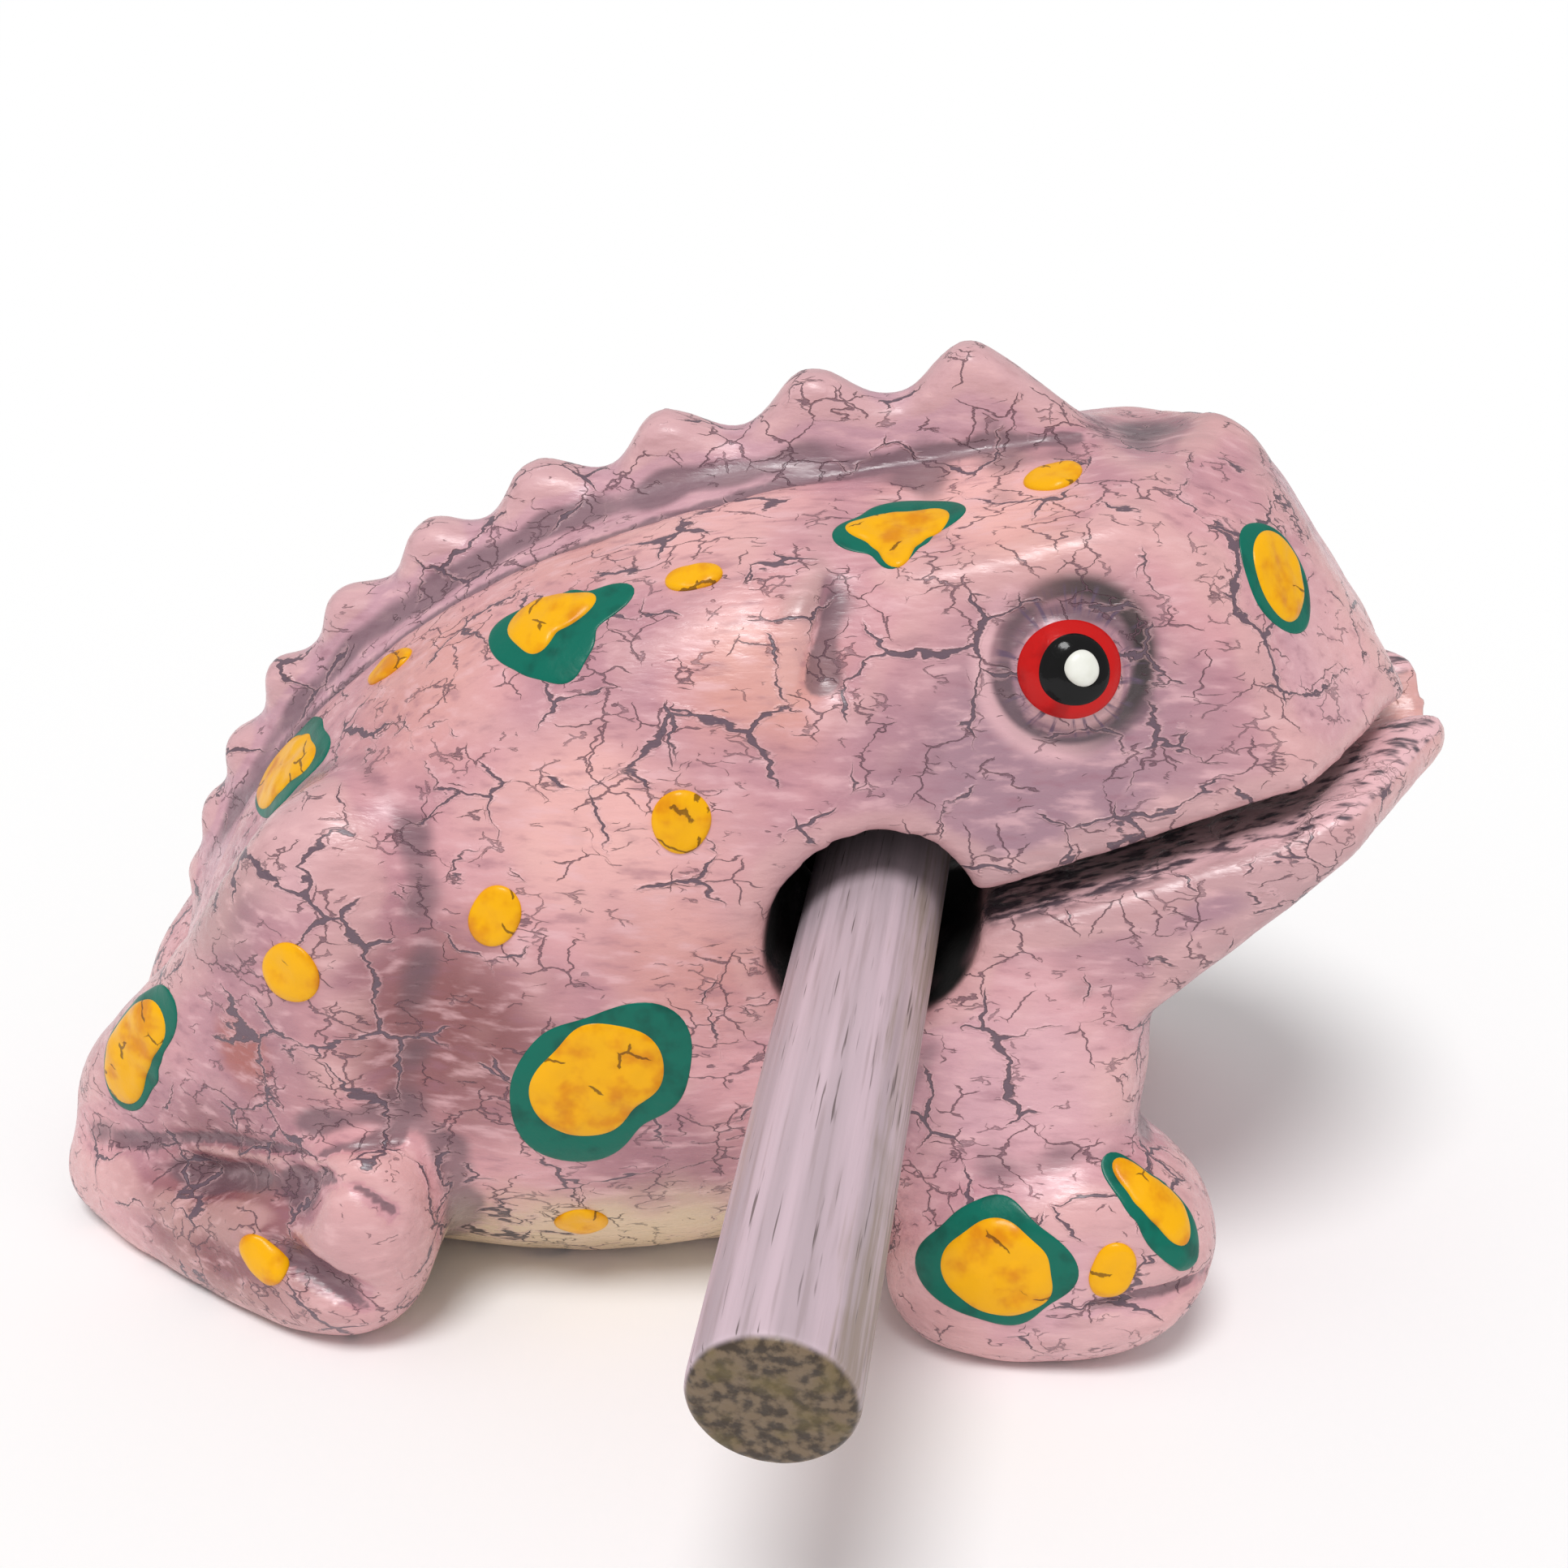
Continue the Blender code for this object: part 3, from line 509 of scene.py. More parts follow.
@dataclass(frozen=True)
class SkinPaint:
    """Thick mauve crackle paint with airbrushed tints, painted highlights and painted shade, and a gloss varnish."""

    mauve: tuple = srgb(194, 140, 151)
    pink: tuple = srgb(222, 164, 169)
    lilac: tuple = srgb(204, 160, 174)
    light: tuple = srgb(238, 190, 195)
    dark: tuple = srgb(156, 104, 119)
    # Lighter colour of convex edges: partly rubbed paint, partly painted highlight
    edge_wear_and_light: tuple = srgb(232, 186, 180)
    shade: tuple = srgb(96, 76, 86)
    crack: tuple = srgb(98, 78, 92)
    hairline: tuple = srgb(112, 76, 90)
    soot: tuple = srgb(40, 32, 34)
    cream: tuple = srgb(224, 200, 164)
    # Near-black painted shade inside the cross bore, the chamber and the deep end of the mouth
    bore_shade: tuple = srgb(7, 5, 5)
    deep_hollow_shade: tuple = srgb(26, 19, 16)

    def build(self) -> bpy.types.Material:
        """Build the material.

        Returns:
            The crackle paint.
        """
        graph = Graph("crackled_mauve_paint")
        parts = graph.add("ShaderNodeSeparateXYZ")
        graph.put(parts.inputs[0], graph.place)
        x, y, z = parts.outputs
        streaky = graph.stretched((0.28, 1.0, 1.0))
        belly = self.belly(graph, x, y, z)
        color = self.tints(graph, streaky, x, y, z)
        color = graph.mix(belly, color, self.cream)
        edge_wear_and_light = graph.add("ShaderNodeAttribute", attribute_name="edge").outputs["Fac"]
        # Convex edges lightened: partly rubbed paint, partly painted highlight
        color = graph.mix(graph.band(edge_wear_and_light, 0.58, 0.95, 0.0, 0.40), color, self.edge_wear_and_light)
        # Creases darkened: painted shade
        color = graph.mix(graph.band(edge_wear_and_light, 0.42, 0.08, 0.0, 0.70), color, self.shade)
        color = self.eye_hollow(graph, color, x, z)
        wide, thin, rim = self.cracks(graph, streaky)
        # Painted highlight: the raised rims of the cracks are lightened as if they caught the light
        color = graph.mix(graph.math("MULTIPLY", rim, 0.30), color, self.light)
        color = graph.mix(thin, color, graph.mix(belly, self.hairline, self.soot))
        color = graph.mix(wide, color, graph.mix(belly, self.crack, self.soot))
        color, inside = self.holes(graph, streaky, color, x, y, z)
        fine = graph.noise(streaky, 0.0006, 4.0)
        cut = graph.math("MAXIMUM", wide, thin)
        height = graph.math("SUBTRACT", graph.math("ADD", graph.math("MULTIPLY", rim, 0.45), 0.5), cut)
        normal = graph.bump(height, 0.00020)
        normal = graph.bump(fine, 0.00010, normal)
        roughness = graph.math("MAXIMUM", graph.band(fine, 0.35, 0.70, 0.26, 0.50), inside)
        return graph.finish(color, roughness, normal, coat=0.16, coat_roughness=0.20)

    def belly(self, graph: Graph, x: object, y: object, z: object) -> bpy.types.NodeSocket:
        """Share of the cream paint under the belly.

        Args:
            graph: Material being built.
            x: Object X.
            y: Object Y.
            z: Object Z.

        Returns:
            The share.
        """
        drift = graph.math("MULTIPLY", graph.math("SUBTRACT", graph.noise(graph.place, 0.009, 3.0), 0.5), 0.014)
        level = graph.band(graph.math("ADD", z, drift), 0.022, 0.010, 0.0, 0.92)
        width = graph.band(graph.math("ABSOLUTE", y), 0.039, 0.035)
        length = graph.math("MULTIPLY", graph.band(x, -0.058, -0.044), graph.band(x, 0.014, 0.006))
        return graph.math("MULTIPLY", graph.math("MULTIPLY", level, width), length)

    def tints(self, graph: Graph, streaky: object, x: object, y: object, z: object) -> bpy.types.NodeSocket:
        """Colour of the paint before cracks: clouds, brush streaks, airbrushed spots, and spots of painted highlight
        and painted shade.

        Args:
            graph: Material being built.
            streaky: Coordinates drawn out along X.
            x: Object X.
            y: Object Y.
            z: Object Z.

        Returns:
            The colour.
        """
        cloudy = graph.shaken(graph.place, 0.008, 0.004)
        cloud = graph.noise(graph.place, 0.020, 3.0)
        color = graph.mix(graph.band(cloud, 0.38, 0.64), self.mauve, self.pink)
        foot = graph.band(x, 0.014, -0.012, 0.0048, 0.0102)
        ridge = graph.math("MULTIPLY", graph.band(graph.math("SUBTRACT", graph.math("ABSOLUTE", y), foot), 0.0008, -0.0006),
                           graph.math("MULTIPLY", graph.band(x, 0.034, 0.028), graph.band(z, 0.034, 0.046)))
        for side in Side:
            for tint in AIRBRUSH_AND_PAINTED_LIGHT:
                ahead, out, up = (value * MM for value in tint.middle_mm)
                away = graph.vector("DISTANCE", cloudy, (ahead, out * side.value, up))
                reach = tint.radius_mm * MM
                share = graph.band(away, reach, reach * 0.25, 0.0, tint.strength)
                color = graph.mix(share, color, tint.colour)
        color = graph.mix(graph.math("MULTIPLY", ridge, 0.75), color, self.lilac)
        streak = graph.noise(streaky, 0.0014, 5.0)
        color = graph.mix(graph.band(streak, 0.50, 0.72, 0.0, 0.55), color, self.light)
        return graph.mix(graph.band(streak, 0.48, 0.26, 0.0, 0.50), color, self.dark)

    def eye_hollow(self, graph: Graph, color: object, x: object, z: object) -> bpy.types.NodeSocket:
        """Painted shade as a dark crescent in the groove round the eye's dome, a painted highlight on the groove's
        lower rim, and wrinkles that run out from it.

        Args:
            graph: Material being built.
            color: Colour of the skin.
            x: Object X.
            z: Object Z.

        Returns:
            The new colour.
        """
        ahead = graph.math("SUBTRACT", x, EYE_X)
        up = graph.math("SUBTRACT", z, EYE_Z)
        away = graph.math("SQRT", graph.math("ADD", graph.math("MULTIPLY", ahead, ahead),
                                             graph.math("MULTIPLY", up, up)))
        lean = graph.math("DIVIDE", graph.math("ADD", ahead, graph.math("MULTIPLY", up, 0.7)), away)
        pan = graph.math("MULTIPLY", graph.band(away, EYE_RADIUS - 0.0007, EYE_RADIUS + 0.0003),
                         graph.band(away, EYE_RADIUS + 0.0030, EYE_RADIUS + 0.0012))
        # Painted shade in the groove round the dome, darkest toward the front and top
        color = graph.mix(graph.math("MULTIPLY", pan, graph.band(lean, -0.9, 0.9, 0.30, 0.92)), color, srgb(52, 44, 44))
        # Painted highlight on the lower rim of the groove
        low = graph.math("MULTIPLY", graph.band(lean, 0.1, -0.8, 0.0, 0.7),
                         graph.math("MULTIPLY", graph.band(away, EYE_RADIUS + 0.0014, EYE_RADIUS + 0.0022),
                                    graph.band(away, EYE_RADIUS + 0.0045, EYE_RADIUS + 0.0028)))
        color = graph.mix(low, color, self.light)
        turn = graph.math("ARCTAN2", up, ahead)
        rays = graph.add("ShaderNodeCombineXYZ")
        graph.put(rays.inputs[0], graph.math("MULTIPLY", turn, 0.010))
        graph.put(rays.inputs[1], graph.math("MULTIPLY", away, 0.15))
        line = graph.band(graph.noise(rays.outputs[0], 0.0011, 2.0), 0.50, 0.36, 0.0, 0.85)
        margin = graph.math("MULTIPLY", graph.band(away, EYE_RADIUS - 0.0022, EYE_RADIUS - 0.0012),
                            graph.band(away, EYE_RADIUS + 0.0016, EYE_RADIUS + 0.0004))
        return graph.mix(graph.math("MULTIPLY", margin, line), color, srgb(96, 74, 100))

    def cracks(self, graph: Graph, streaky: object) -> tuple:
        """Crack lines and the raised rims beside them.

        Wide ones follow the borders of ragged cells of about 9 mm, whose width
        swells and dies out. Thin ones follow cells of about 4 mm, and short
        flat ones fill some of the rest.

        Args:
            graph: Material being built.
            streaky: Coordinates drawn out along X.

        Returns:
            Share of wide cracks, of thin ones, and of their rims.
        """
        bent = graph.shaken(graph.place, 0.0050, 0.0019)
        push = graph.vector("SUBTRACT", graph.noise(streaky, 0.0008, 4.0, "Color"), (0.5, 0.5, 0.5))
        ragged = graph.vector("ADD", bent, graph.scaled(push, 0.0016))
        big = graph.cells(graph.vector("MULTIPLY", ragged, (0.85, 1.0, 1.0)), 0.0092)
        swell = graph.noise(graph.place, 0.0085, 2.0)
        limit = graph.band(swell, 0.38, 0.68, -0.014, 0.029)
        gap = graph.math("SUBTRACT", big, limit)
        wide = graph.band(gap, 0.005, -0.008, 0.0, 0.95)
        small = graph.cells(graph.vector("MULTIPLY", ragged, (0.80, 1.0, 1.0)), 0.0043)
        where = graph.noise(graph.place, 0.0060, 1.0)
        thin = graph.band(graph.math("SUBTRACT", small, graph.band(where, 0.42, 0.60, -0.04, 0.015)),
                          0.012, -0.010, 0.0, 0.80)
        dashes = graph.cells(graph.vector("MULTIPLY", ragged, (0.38, 1.0, 1.0)), 0.0019)
        spread = graph.band(graph.noise(graph.place, 0.0036, 2.0), 0.46, 0.64, -0.10, 0.030)
        short = graph.band(graph.math("SUBTRACT", dashes, spread), 0.020, -0.020, 0.0, 0.55)
        rim = graph.math("MULTIPLY", graph.band(gap, 0.040, 0.006), graph.band(limit, -0.012, 0.010))
        return wide, graph.math("MAXIMUM", thin, short), rim

    def holes(self, graph: Graph, streaky: object, color: object, x: object, y: object,
              z: object) -> tuple:
        """Walls of the cross bore, the chamber and the mouth slot's upper side painted near-black as shade, and the
        speckled mouth.

        Args:
            graph: Material being built.
            streaky: Coordinates drawn out along X.
            color: Colour of the outside.
            x: Object X.
            y: Object Y.
            z: Object Z.

        Returns:
            The new colour, and the share of the walls painted near-black as shade in the bore, the chamber and the
            slot's deep end.
        """
        past = graph.math("ADD", y, BORE_HALF)
        bore_x = graph.math("SUBTRACT", graph.math("SUBTRACT", x, BORE_X), graph.math("MULTIPLY", past, BORE_TOE))
        bore_z = graph.math("SUBTRACT", graph.math("SUBTRACT", z, BORE_Z), graph.math("MULTIPLY", past, BORE_DROP))
        from_bore = graph.math("SQRT", graph.math("ADD", graph.math("MULTIPLY", bore_x, bore_x),
                                                  graph.math("MULTIPLY", bore_z, bore_z)))
        bore = graph.band(from_bore, BORE_RADIUS + 0.0004, BORE_RADIUS - 0.0001)
        rise = graph.math("MULTIPLY", graph.math("SUBTRACT", z, BORE_Z - MOUTH_DROP), math.cos(MOUTH_ANGLE))
        level = graph.math("SUBTRACT", rise,
                           graph.math("MULTIPLY", graph.math("SUBTRACT", x, BORE_X), math.sin(MOUTH_ANGLE)))
        from_axis = graph.math("SQRT", graph.math("ADD", graph.math("MULTIPLY", level, level),
                                                  graph.math("MULTIPLY", y, y)))
        within = graph.band(x, 0.0690, 0.0610)
        drilled = graph.math("MULTIPLY", within, graph.band(x, CHAMBER_END - 0.003, CHAMBER_END))
        chamber = graph.math("MULTIPLY", drilled,
                             graph.band(from_axis, CHAMBER_RADIUS + 0.0003, CHAMBER_RADIUS - 0.0003))
        slot = graph.math("MULTIPLY", graph.band(graph.math("ABSOLUTE", level), MOUTH_HALF + 0.0006, MOUTH_HALF),
                          graph.band(x, BORE_X, BORE_X + 0.006))
        speckle = graph.math("ADD", graph.noise(streaky, 0.0011, 4.0), graph.band(x, 0.056, 0.026, -0.02, 0.10))
        grey = graph.mix(graph.band(speckle, 0.45, 0.66), self.light, srgb(92, 76, 86))
        # Painted shade: the slot's upper wall, which faces down, is painted near-black
        grey = graph.mix(graph.math("MULTIPLY", within, graph.band(level, 0.0006, 0.0016)), grey, srgb(30, 24, 26))
        color = graph.mix(slot, color, grey)
        # Painted shade: the chamber and the slot's deep end by the bore are painted near-black
        deep = graph.math("MAXIMUM", chamber, graph.math("MULTIPLY", slot, graph.band(x, 0.028, 0.021)))
        color = graph.mix(deep, color, self.deep_hollow_shade)
        # Painted shade: the walls of the cross bore are painted black
        return graph.mix(bore, color, self.bore_shade), graph.math("MAXIMUM", bore, deep)


@dataclass
class Web:
    """Neighbours of each point of a mesh."""

    ends: np.ndarray
    others: np.ndarray
    links: np.ndarray

    @classmethod
    def of(cls, mesh: bpy.types.Mesh) -> "Web":
        """Read the edges of a mesh.

        Args:
            mesh: The mesh.

        Returns:
            Its web.
        """
        edges = np.empty(len(mesh.edges) * 2, np.int64)
        mesh.edges.foreach_get("vertices", edges)
        edges = edges.reshape(-1, 2)
        ends = np.concatenate([edges[:, 0], edges[:, 1]])
        others = np.concatenate([edges[:, 1], edges[:, 0]])
        links = np.bincount(ends, minlength=len(mesh.vertices)).astype(float)[:, None]
        return cls(ends, others, links)

    def mean(self, values: np.ndarray) -> np.ndarray:
        """Mean of each point's neighbours.

        Args:
            values: One row for each point.

        Returns:
            The mean rows.
        """
        count = len(self.links)
        columns = [np.bincount(self.ends, weights=values[self.others, axis], minlength=count)
                   for axis in range(values.shape[1])]
        return np.stack(columns, axis=1) / self.links


def rows_of(mesh: bpy.types.Mesh, name: str) -> np.ndarray:
    """Places or normals of a mesh's points as rows."""
    values = np.empty(len(mesh.vertices) * 3)
    mesh.vertices.foreach_get(name, values)
    return values.reshape(-1, 3)


@dataclass(frozen=True)
class Gouge:
    """A cut of the carver's gouge on both sides, along points (X, distance out, Z)."""

    path_mm: tuple[tuple[float, float, float], ...]
    width_mm: float
    depth_mm: float

    def near(self, points: np.ndarray) -> np.ndarray:
        """Share of the cut at each point: a Gaussian of the distance to the path.

        Args:
            points: Points of the skin as rows.

        Returns:
            One share for each point, as a column.
        """
        folded = points.copy()
        folded[:, 1] = np.abs(folded[:, 1])
        path = np.array(self.path_mm) * MM
        away = np.full(len(points), np.inf)
        for start, end in zip(path[:-1], path[1:]):
            run = end - start
            share = np.clip((folded - start) @ run / (run @ run), 0.0, 1.0)
            away = np.minimum(away, np.linalg.norm(folded - start - share[:, None] * run, axis=1))
        return np.exp(-(away / (self.width_mm * MM)) ** 2)[:, None]

    def depth(self, points: np.ndarray) -> np.ndarray:
        """Depth of the cut at each point in metres, as a column."""
        return self.depth_mm * MM * self.near(points)


HEEL_HOLLOW = Gouge(((-68.0, 29.0, 14.6), (-58.0, 34.0, 16.4), (-49.0, 38.2, 18.0)), 4.5, 0.9)
GOUGES = (
    HEEL_HOLLOW,
    Gouge(SEAM_MM, 0.75, 0.55),
    Gouge(((-73.0, 24.5, 14.3), (-67.2, 27.7, 17.0), (-60.5, 31.2, 19.5), (-53.6, 35.4, 21.6), (-46.9, 40.3, 23.9),
           (-41.2, 40.6, 25.6), (-37.3, 39.4, 26.2)), 0.9, 0.9),
    Gouge(((-44.7, 40.8, 22.6), (-40.1, 44.9, 22.9), (-36.8, 44.7, 20.3)), 1.1, 1.3),
    Gouge(((-49.0, 41.2, 10.8), (-45.9, 42.4, 9.4), (-39.8, 44.8, 6.6)), 1.2, 0.8),
    Gouge(((37.9, 42.4, 10.4), (43.4, 41.2, 12.0), (47.6, 39.4, 12.1), (51.5, 36.6, 11.9)), 0.9, 0.9),
)


@dataclass
class FrogSkin:
    """The frog's skin: the solid's shape, smoothed, with the carver's small waves."""

    voxel: float = 0.00091
    smoothing: int = 18
    keep_from: float = 7.0
    keep_full: float = 16.0
    least_free: float = 0.10
    wave_depth: float = 0.00010
    wave_size: float = 0.0075
    soft_steps: int = 8
    melt_steps: int = 30
    lip_swell: float = 0.0021
    edge_steps: int = 16
    edge_height: float = 0.00022
    paint: SkinPaint = field(default_factory=SkinPaint)

    def remeshed(self) -> bpy.types.Object:
        """Even fine mesh over a merged copy of the frog's solid.

        Returns:
            The object with its final faces.
        """
        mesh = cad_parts["frog_body"].data.copy()
        merged = bmesh.new()
        merged.from_mesh(mesh)
        bmesh.ops.remove_doubles(merged, verts=merged.verts, dist=1e-6)
        merged.to_mesh(mesh)
        merged.free()
        item = bpy.data.objects.new("frog_skin_rough", mesh)
        bpy.context.scene.collection.objects.link(item)
        fuse = item.modifiers.new("Fuse", "REMESH")
        fuse.mode = "VOXEL"
        fuse.voxel_size = self.voxel
        depsgraph = bpy.context.evaluated_depsgraph_get()
        fine = bpy.data.meshes.new_from_object(item.evaluated_get(depsgraph))
        bpy.data.objects.remove(item, do_unlink=True)
        fine.name = "frog_skin"
        fine.materials.clear()
        skin = bpy.data.objects.new("frog_skin", fine)
        bpy.context.scene.collection.objects.link(skin)
        return skin

    def freedom(self, web: Web, normals: np.ndarray) -> np.ndarray:
        """How far each point may move: less where the skin bends hard.

        Args:
            web: Neighbours of the points.
            normals: Normals of the points.

        Returns:
            A share for each point, as one column.
        """
        for _ in range(2):
            normals = web.mean(normals) + normals
            normals /= np.linalg.norm(normals, axis=1)[:, None]
        around = web.mean(normals)
        likeness = (normals * around).sum(axis=1) / np.linalg.norm(around, axis=1)
        bend = 2.0 * np.degrees(np.arccos(np.clip(likeness, -1.0, 1.0)))
        held = np.clip((bend - self.keep_from) / (self.keep_full - self.keep_from), 0.0, 1.0)
        return (self.least_free + (1.0 - self.least_free) * (1.0 - held))[:, None]

    def build(self) -> Surface:
        """Make the skin and paint it.

        Facets are smoothed away, but a vertex whose normal stands far off its
        neighbours' nearly keeps its place, so carved edges stay crisp. Every
        second smoothing step is followed by a step the other way of 0.94 of its
        size, so the skin doesn't shrink.

        Returns:
            The skin's points and normals.
        """
        skin = self.remeshed()
        mesh = skin.data
        web = Web.of(mesh)
        points = rows_of(mesh, "co")
        free = self.freedom(web, rows_of(mesh, "normal"))
        for step in range(self.smoothing):
            points = points + free * 0.5 * (web.mean(points) - points)
            if step % 2:
                points = points - free * 0.47 * (web.mean(points) - points)
        melt = HEEL_HOLLOW.near(points)
        for _ in range(self.melt_steps):
            points = points + melt * 0.5 * (web.mean(points) - points)
        self.place(mesh, points)
        normals = rows_of(mesh, "normal")
        points = points + normals * (self.wave_depth * waves(points, self.wave_size, 24, 5))[:, None]
        soft = normals
        for _ in range(self.soft_steps):
            soft = soft + web.mean(soft)
            soft /= np.linalg.norm(soft, axis=1)[:, None]
        points = points - soft * sum(gouge.depth(points) for gouge in GOUGES)
        points = self.lips(points)
        # The edge layer is how far the skin stands out of a smoothed copy of itself; the paint lightens convex edges
        # with it (rubbed paint and painted highlight) and puts painted shade in creases
        smooth = points
        for step in range(self.edge_steps):
            smooth = smooth + 0.6 * (web.mean(smooth) - smooth)
        above = ((points - smooth) * normals).sum(axis=1) / self.edge_height
        self.place(mesh, points)
        layer = mesh.attributes.new("edge", "FLOAT", "POINT")
        layer.data.foreach_set("value", (0.5 + 0.5 * np.clip(above, -1.0, 1.0)).astype(np.float32))
        mesh.shade_smooth()
        mesh.materials.append(self.paint.build())
        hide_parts("frog_body")
        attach(skin, BODY)
        LOG.info("frog_skin: %d faces", len(mesh.polygons))
        return Surface(points, rows_of(mesh, "normal"))

    def lips(self, points: np.ndarray) -> np.ndarray:
        """Swell the lower lip up to the upper one.

        The move fades in along X with a smooth step, and fades with the distance
        from the lower wall of the mouth.

        Args:
            points: Points of the skin as rows.

        Returns:
            The moved points.
        """
        x, _, z = points.T
        level = ((z - BORE_Z + MOUTH_DROP) * math.cos(MOUTH_ANGLE) - (x - BORE_X) * math.sin(MOUTH_ANGLE))
        share = np.clip((x - LIP_START) / (LIP_END - LIP_START), 0.0, 1.0)
        near = np.exp(-((level + MOUTH_HALF) / LIP_DEPTH) ** 2) * (level < 0.0)
        swell = self.lip_swell * share ** 2 * (3.0 - 2.0 * share) * near
        return points + np.stack([0.35 * swell, 0.0 * swell, 0.94 * swell], axis=1)

    @staticmethod
    def place(mesh: bpy.types.Mesh, points: np.ndarray) -> None:
        """Move a mesh's points to new places."""
        mesh.vertices.foreach_set("co", points.ravel())
        mesh.update()


@dataclass(frozen=True)
class DabPaint:
    """Thick glossy paint of a dab, with fine wrinkles."""

    name: str
    tone: tuple
    deep: tuple
    roughness: float
    wrinkle: float

    def build(self) -> bpy.types.Material:
        """Build the material.

        Returns:
            The paint.
        """
        graph = Graph(self.name)
        cloud = graph.noise(graph.place, 0.0035, 3.0)
        color = graph.mix(graph.band(cloud, 0.46, 0.72), self.tone, self.deep)
        ragged = graph.shaken(graph.place, 0.0016, 0.0007, 3.0)
        line = graph.cells(ragged, 0.0060)
        where = graph.band(graph.noise(graph.place, 0.0042, 1.0), 0.52, 0.64, -0.02, 0.020)
        crack = graph.band(graph.math("SUBTRACT", line, where), 0.008, -0.006, 0.0, self.wrinkle)
        color = graph.mix(crack, color, srgb(88, 52, 10))
        fine = graph.noise(graph.shaken(graph.place, 0.002, 0.001), 0.0010, 3.0)
        height = graph.math("SUBTRACT", graph.math("MULTIPLY", fine, 0.5), crack)
        normal = graph.bump(height, 0.00012)
        return graph.finish(color, self.roughness, normal, coat=0.12, coat_roughness=0.12, specular=0.2)


@dataclass
class Outline:
    """A closed outline on a plane: radii at even turns about a middle.

    The first radius points ahead, and the turn goes on downward. Between the
    given turns the radius follows the trigonometric curve through all of them.
    """

    middle_mm: tuple[float, float]
    radii_mm: tuple[float, ...]

    def radius(self, turn: np.ndarray) -> np.ndarray:
        """Radius at each turn in metres.

        Args:
            turn: Turns in radians.

        Returns:
            The radii.
        """
        count = len(self.radii_mm)
        waves_of = np.fft.rfft(np.array(self.radii_mm)) / count
        times = np.arange(len(waves_of))
        weight = np.where((times == 0) | (times * 2 == count), 1.0, 2.0)
        return (weight * waves_of * np.exp(1j * turn[:, None] * times)).real.sum(axis=1) * MM


@dataclass
class Patch:
    """One closed layer of paint that follows the skin."""

    name: str
    centre_mm: tuple[float, float, float]
    out: tuple[float, float, float]
    outline: Outline
    lift: float
    dome: float
    sink: float = 0.00045
    rings: int = 13
    count: int = 96

    def build(self, surface: Surface, side: Side) -> bpy.types.Object:
        """Lay the patch on the skin.

        The flat patch is a polar grid: middle + share * radius(t) * (cos t *
        ahead + sin t * down). It is dropped on the skin, and its height over the
        skin is lift * (1 - share ** dome) ** 0.5, so a high dome is a flat layer
        with a steep rim.

        Args:
            surface: Skin under the patch.
            side: Side of the frog.

        Returns:
            The closed patch.
        """
        flip = np.array([1.0, -side.value, 1.0])
        out = np.array(self.out) * flip
        out /= np.linalg.norm(out)
        ahead = np.array([1.0, 0.0, 0.0]) - out[0] * out
        ahead /= np.linalg.norm(ahead)
        down = np.cross(out, ahead)
        down *= -np.sign(down[2])
        centre = np.array(self.centre_mm) * MM * flip
        anchor = surface.points[np.linalg.norm(surface.points - centre, axis=1).argmin()]
        middle = centre + (ahead * self.outline.middle_mm[0] + down * self.outline.middle_mm[1]) * MM
        turn = np.arange(self.count) / self.count * 2 * math.pi
        if np.cross(ahead, down) @ out < 0:
            turn = -turn
        radius = self.outline.radius(turn)
        shares = np.sin(np.linspace(0.12, 1.0, self.rings) * math.pi / 2)
        reach = (shares[:, None] * radius[None, :])[..., None]
        ways = np.cos(turn)[:, None] * ahead + np.sin(turn)[:, None] * down
        flat = np.vstack([middle[None], (middle + reach * ways[None]).reshape(-1, 3)])
        foot, normal = surface.drop(anchor, out, flat)
        share = np.concatenate([[0.0], np.repeat(shares, self.count)])
        rough = 1.0 + 0.14 * waves(foot, 0.0032, 12, 11)
        lift = self.lift * np.sqrt(np.maximum(1.0 - share ** self.dome, 0.0)) * rough
        top = foot + normal * lift[:, None]
        low = foot - normal * self.sink
        rows = np.concatenate([top[1:].reshape(self.rings, self.count, 3),
                               low[1:].reshape(self.rings, self.count, 3)[::-1]])
        points, faces = closed_rows(rows, top[0], low[0])
        return mesh_of(f"{self.name}_{side.name.lower()}", points, faces)


def dressed(item: bpy.types.Object, finish: bpy.types.Material) -> bpy.types.Object:
    """Paint a layer and fix it to the frog.

    Args:
        item: The layer.
        finish: Its paint.

    Returns:
        The layer.
    """
    item.data.materials.append(finish)
    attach(item, BODY)
    return item


@dataclass(frozen=True)
class Spot:
    """A painted spot of the near side: a yellow dab, and a green ring under some."""

    name: str
    centre_mm: tuple[float, float, float]
    out: tuple[float, float, float]
    dab: Outline
    ring: Outline | None = None


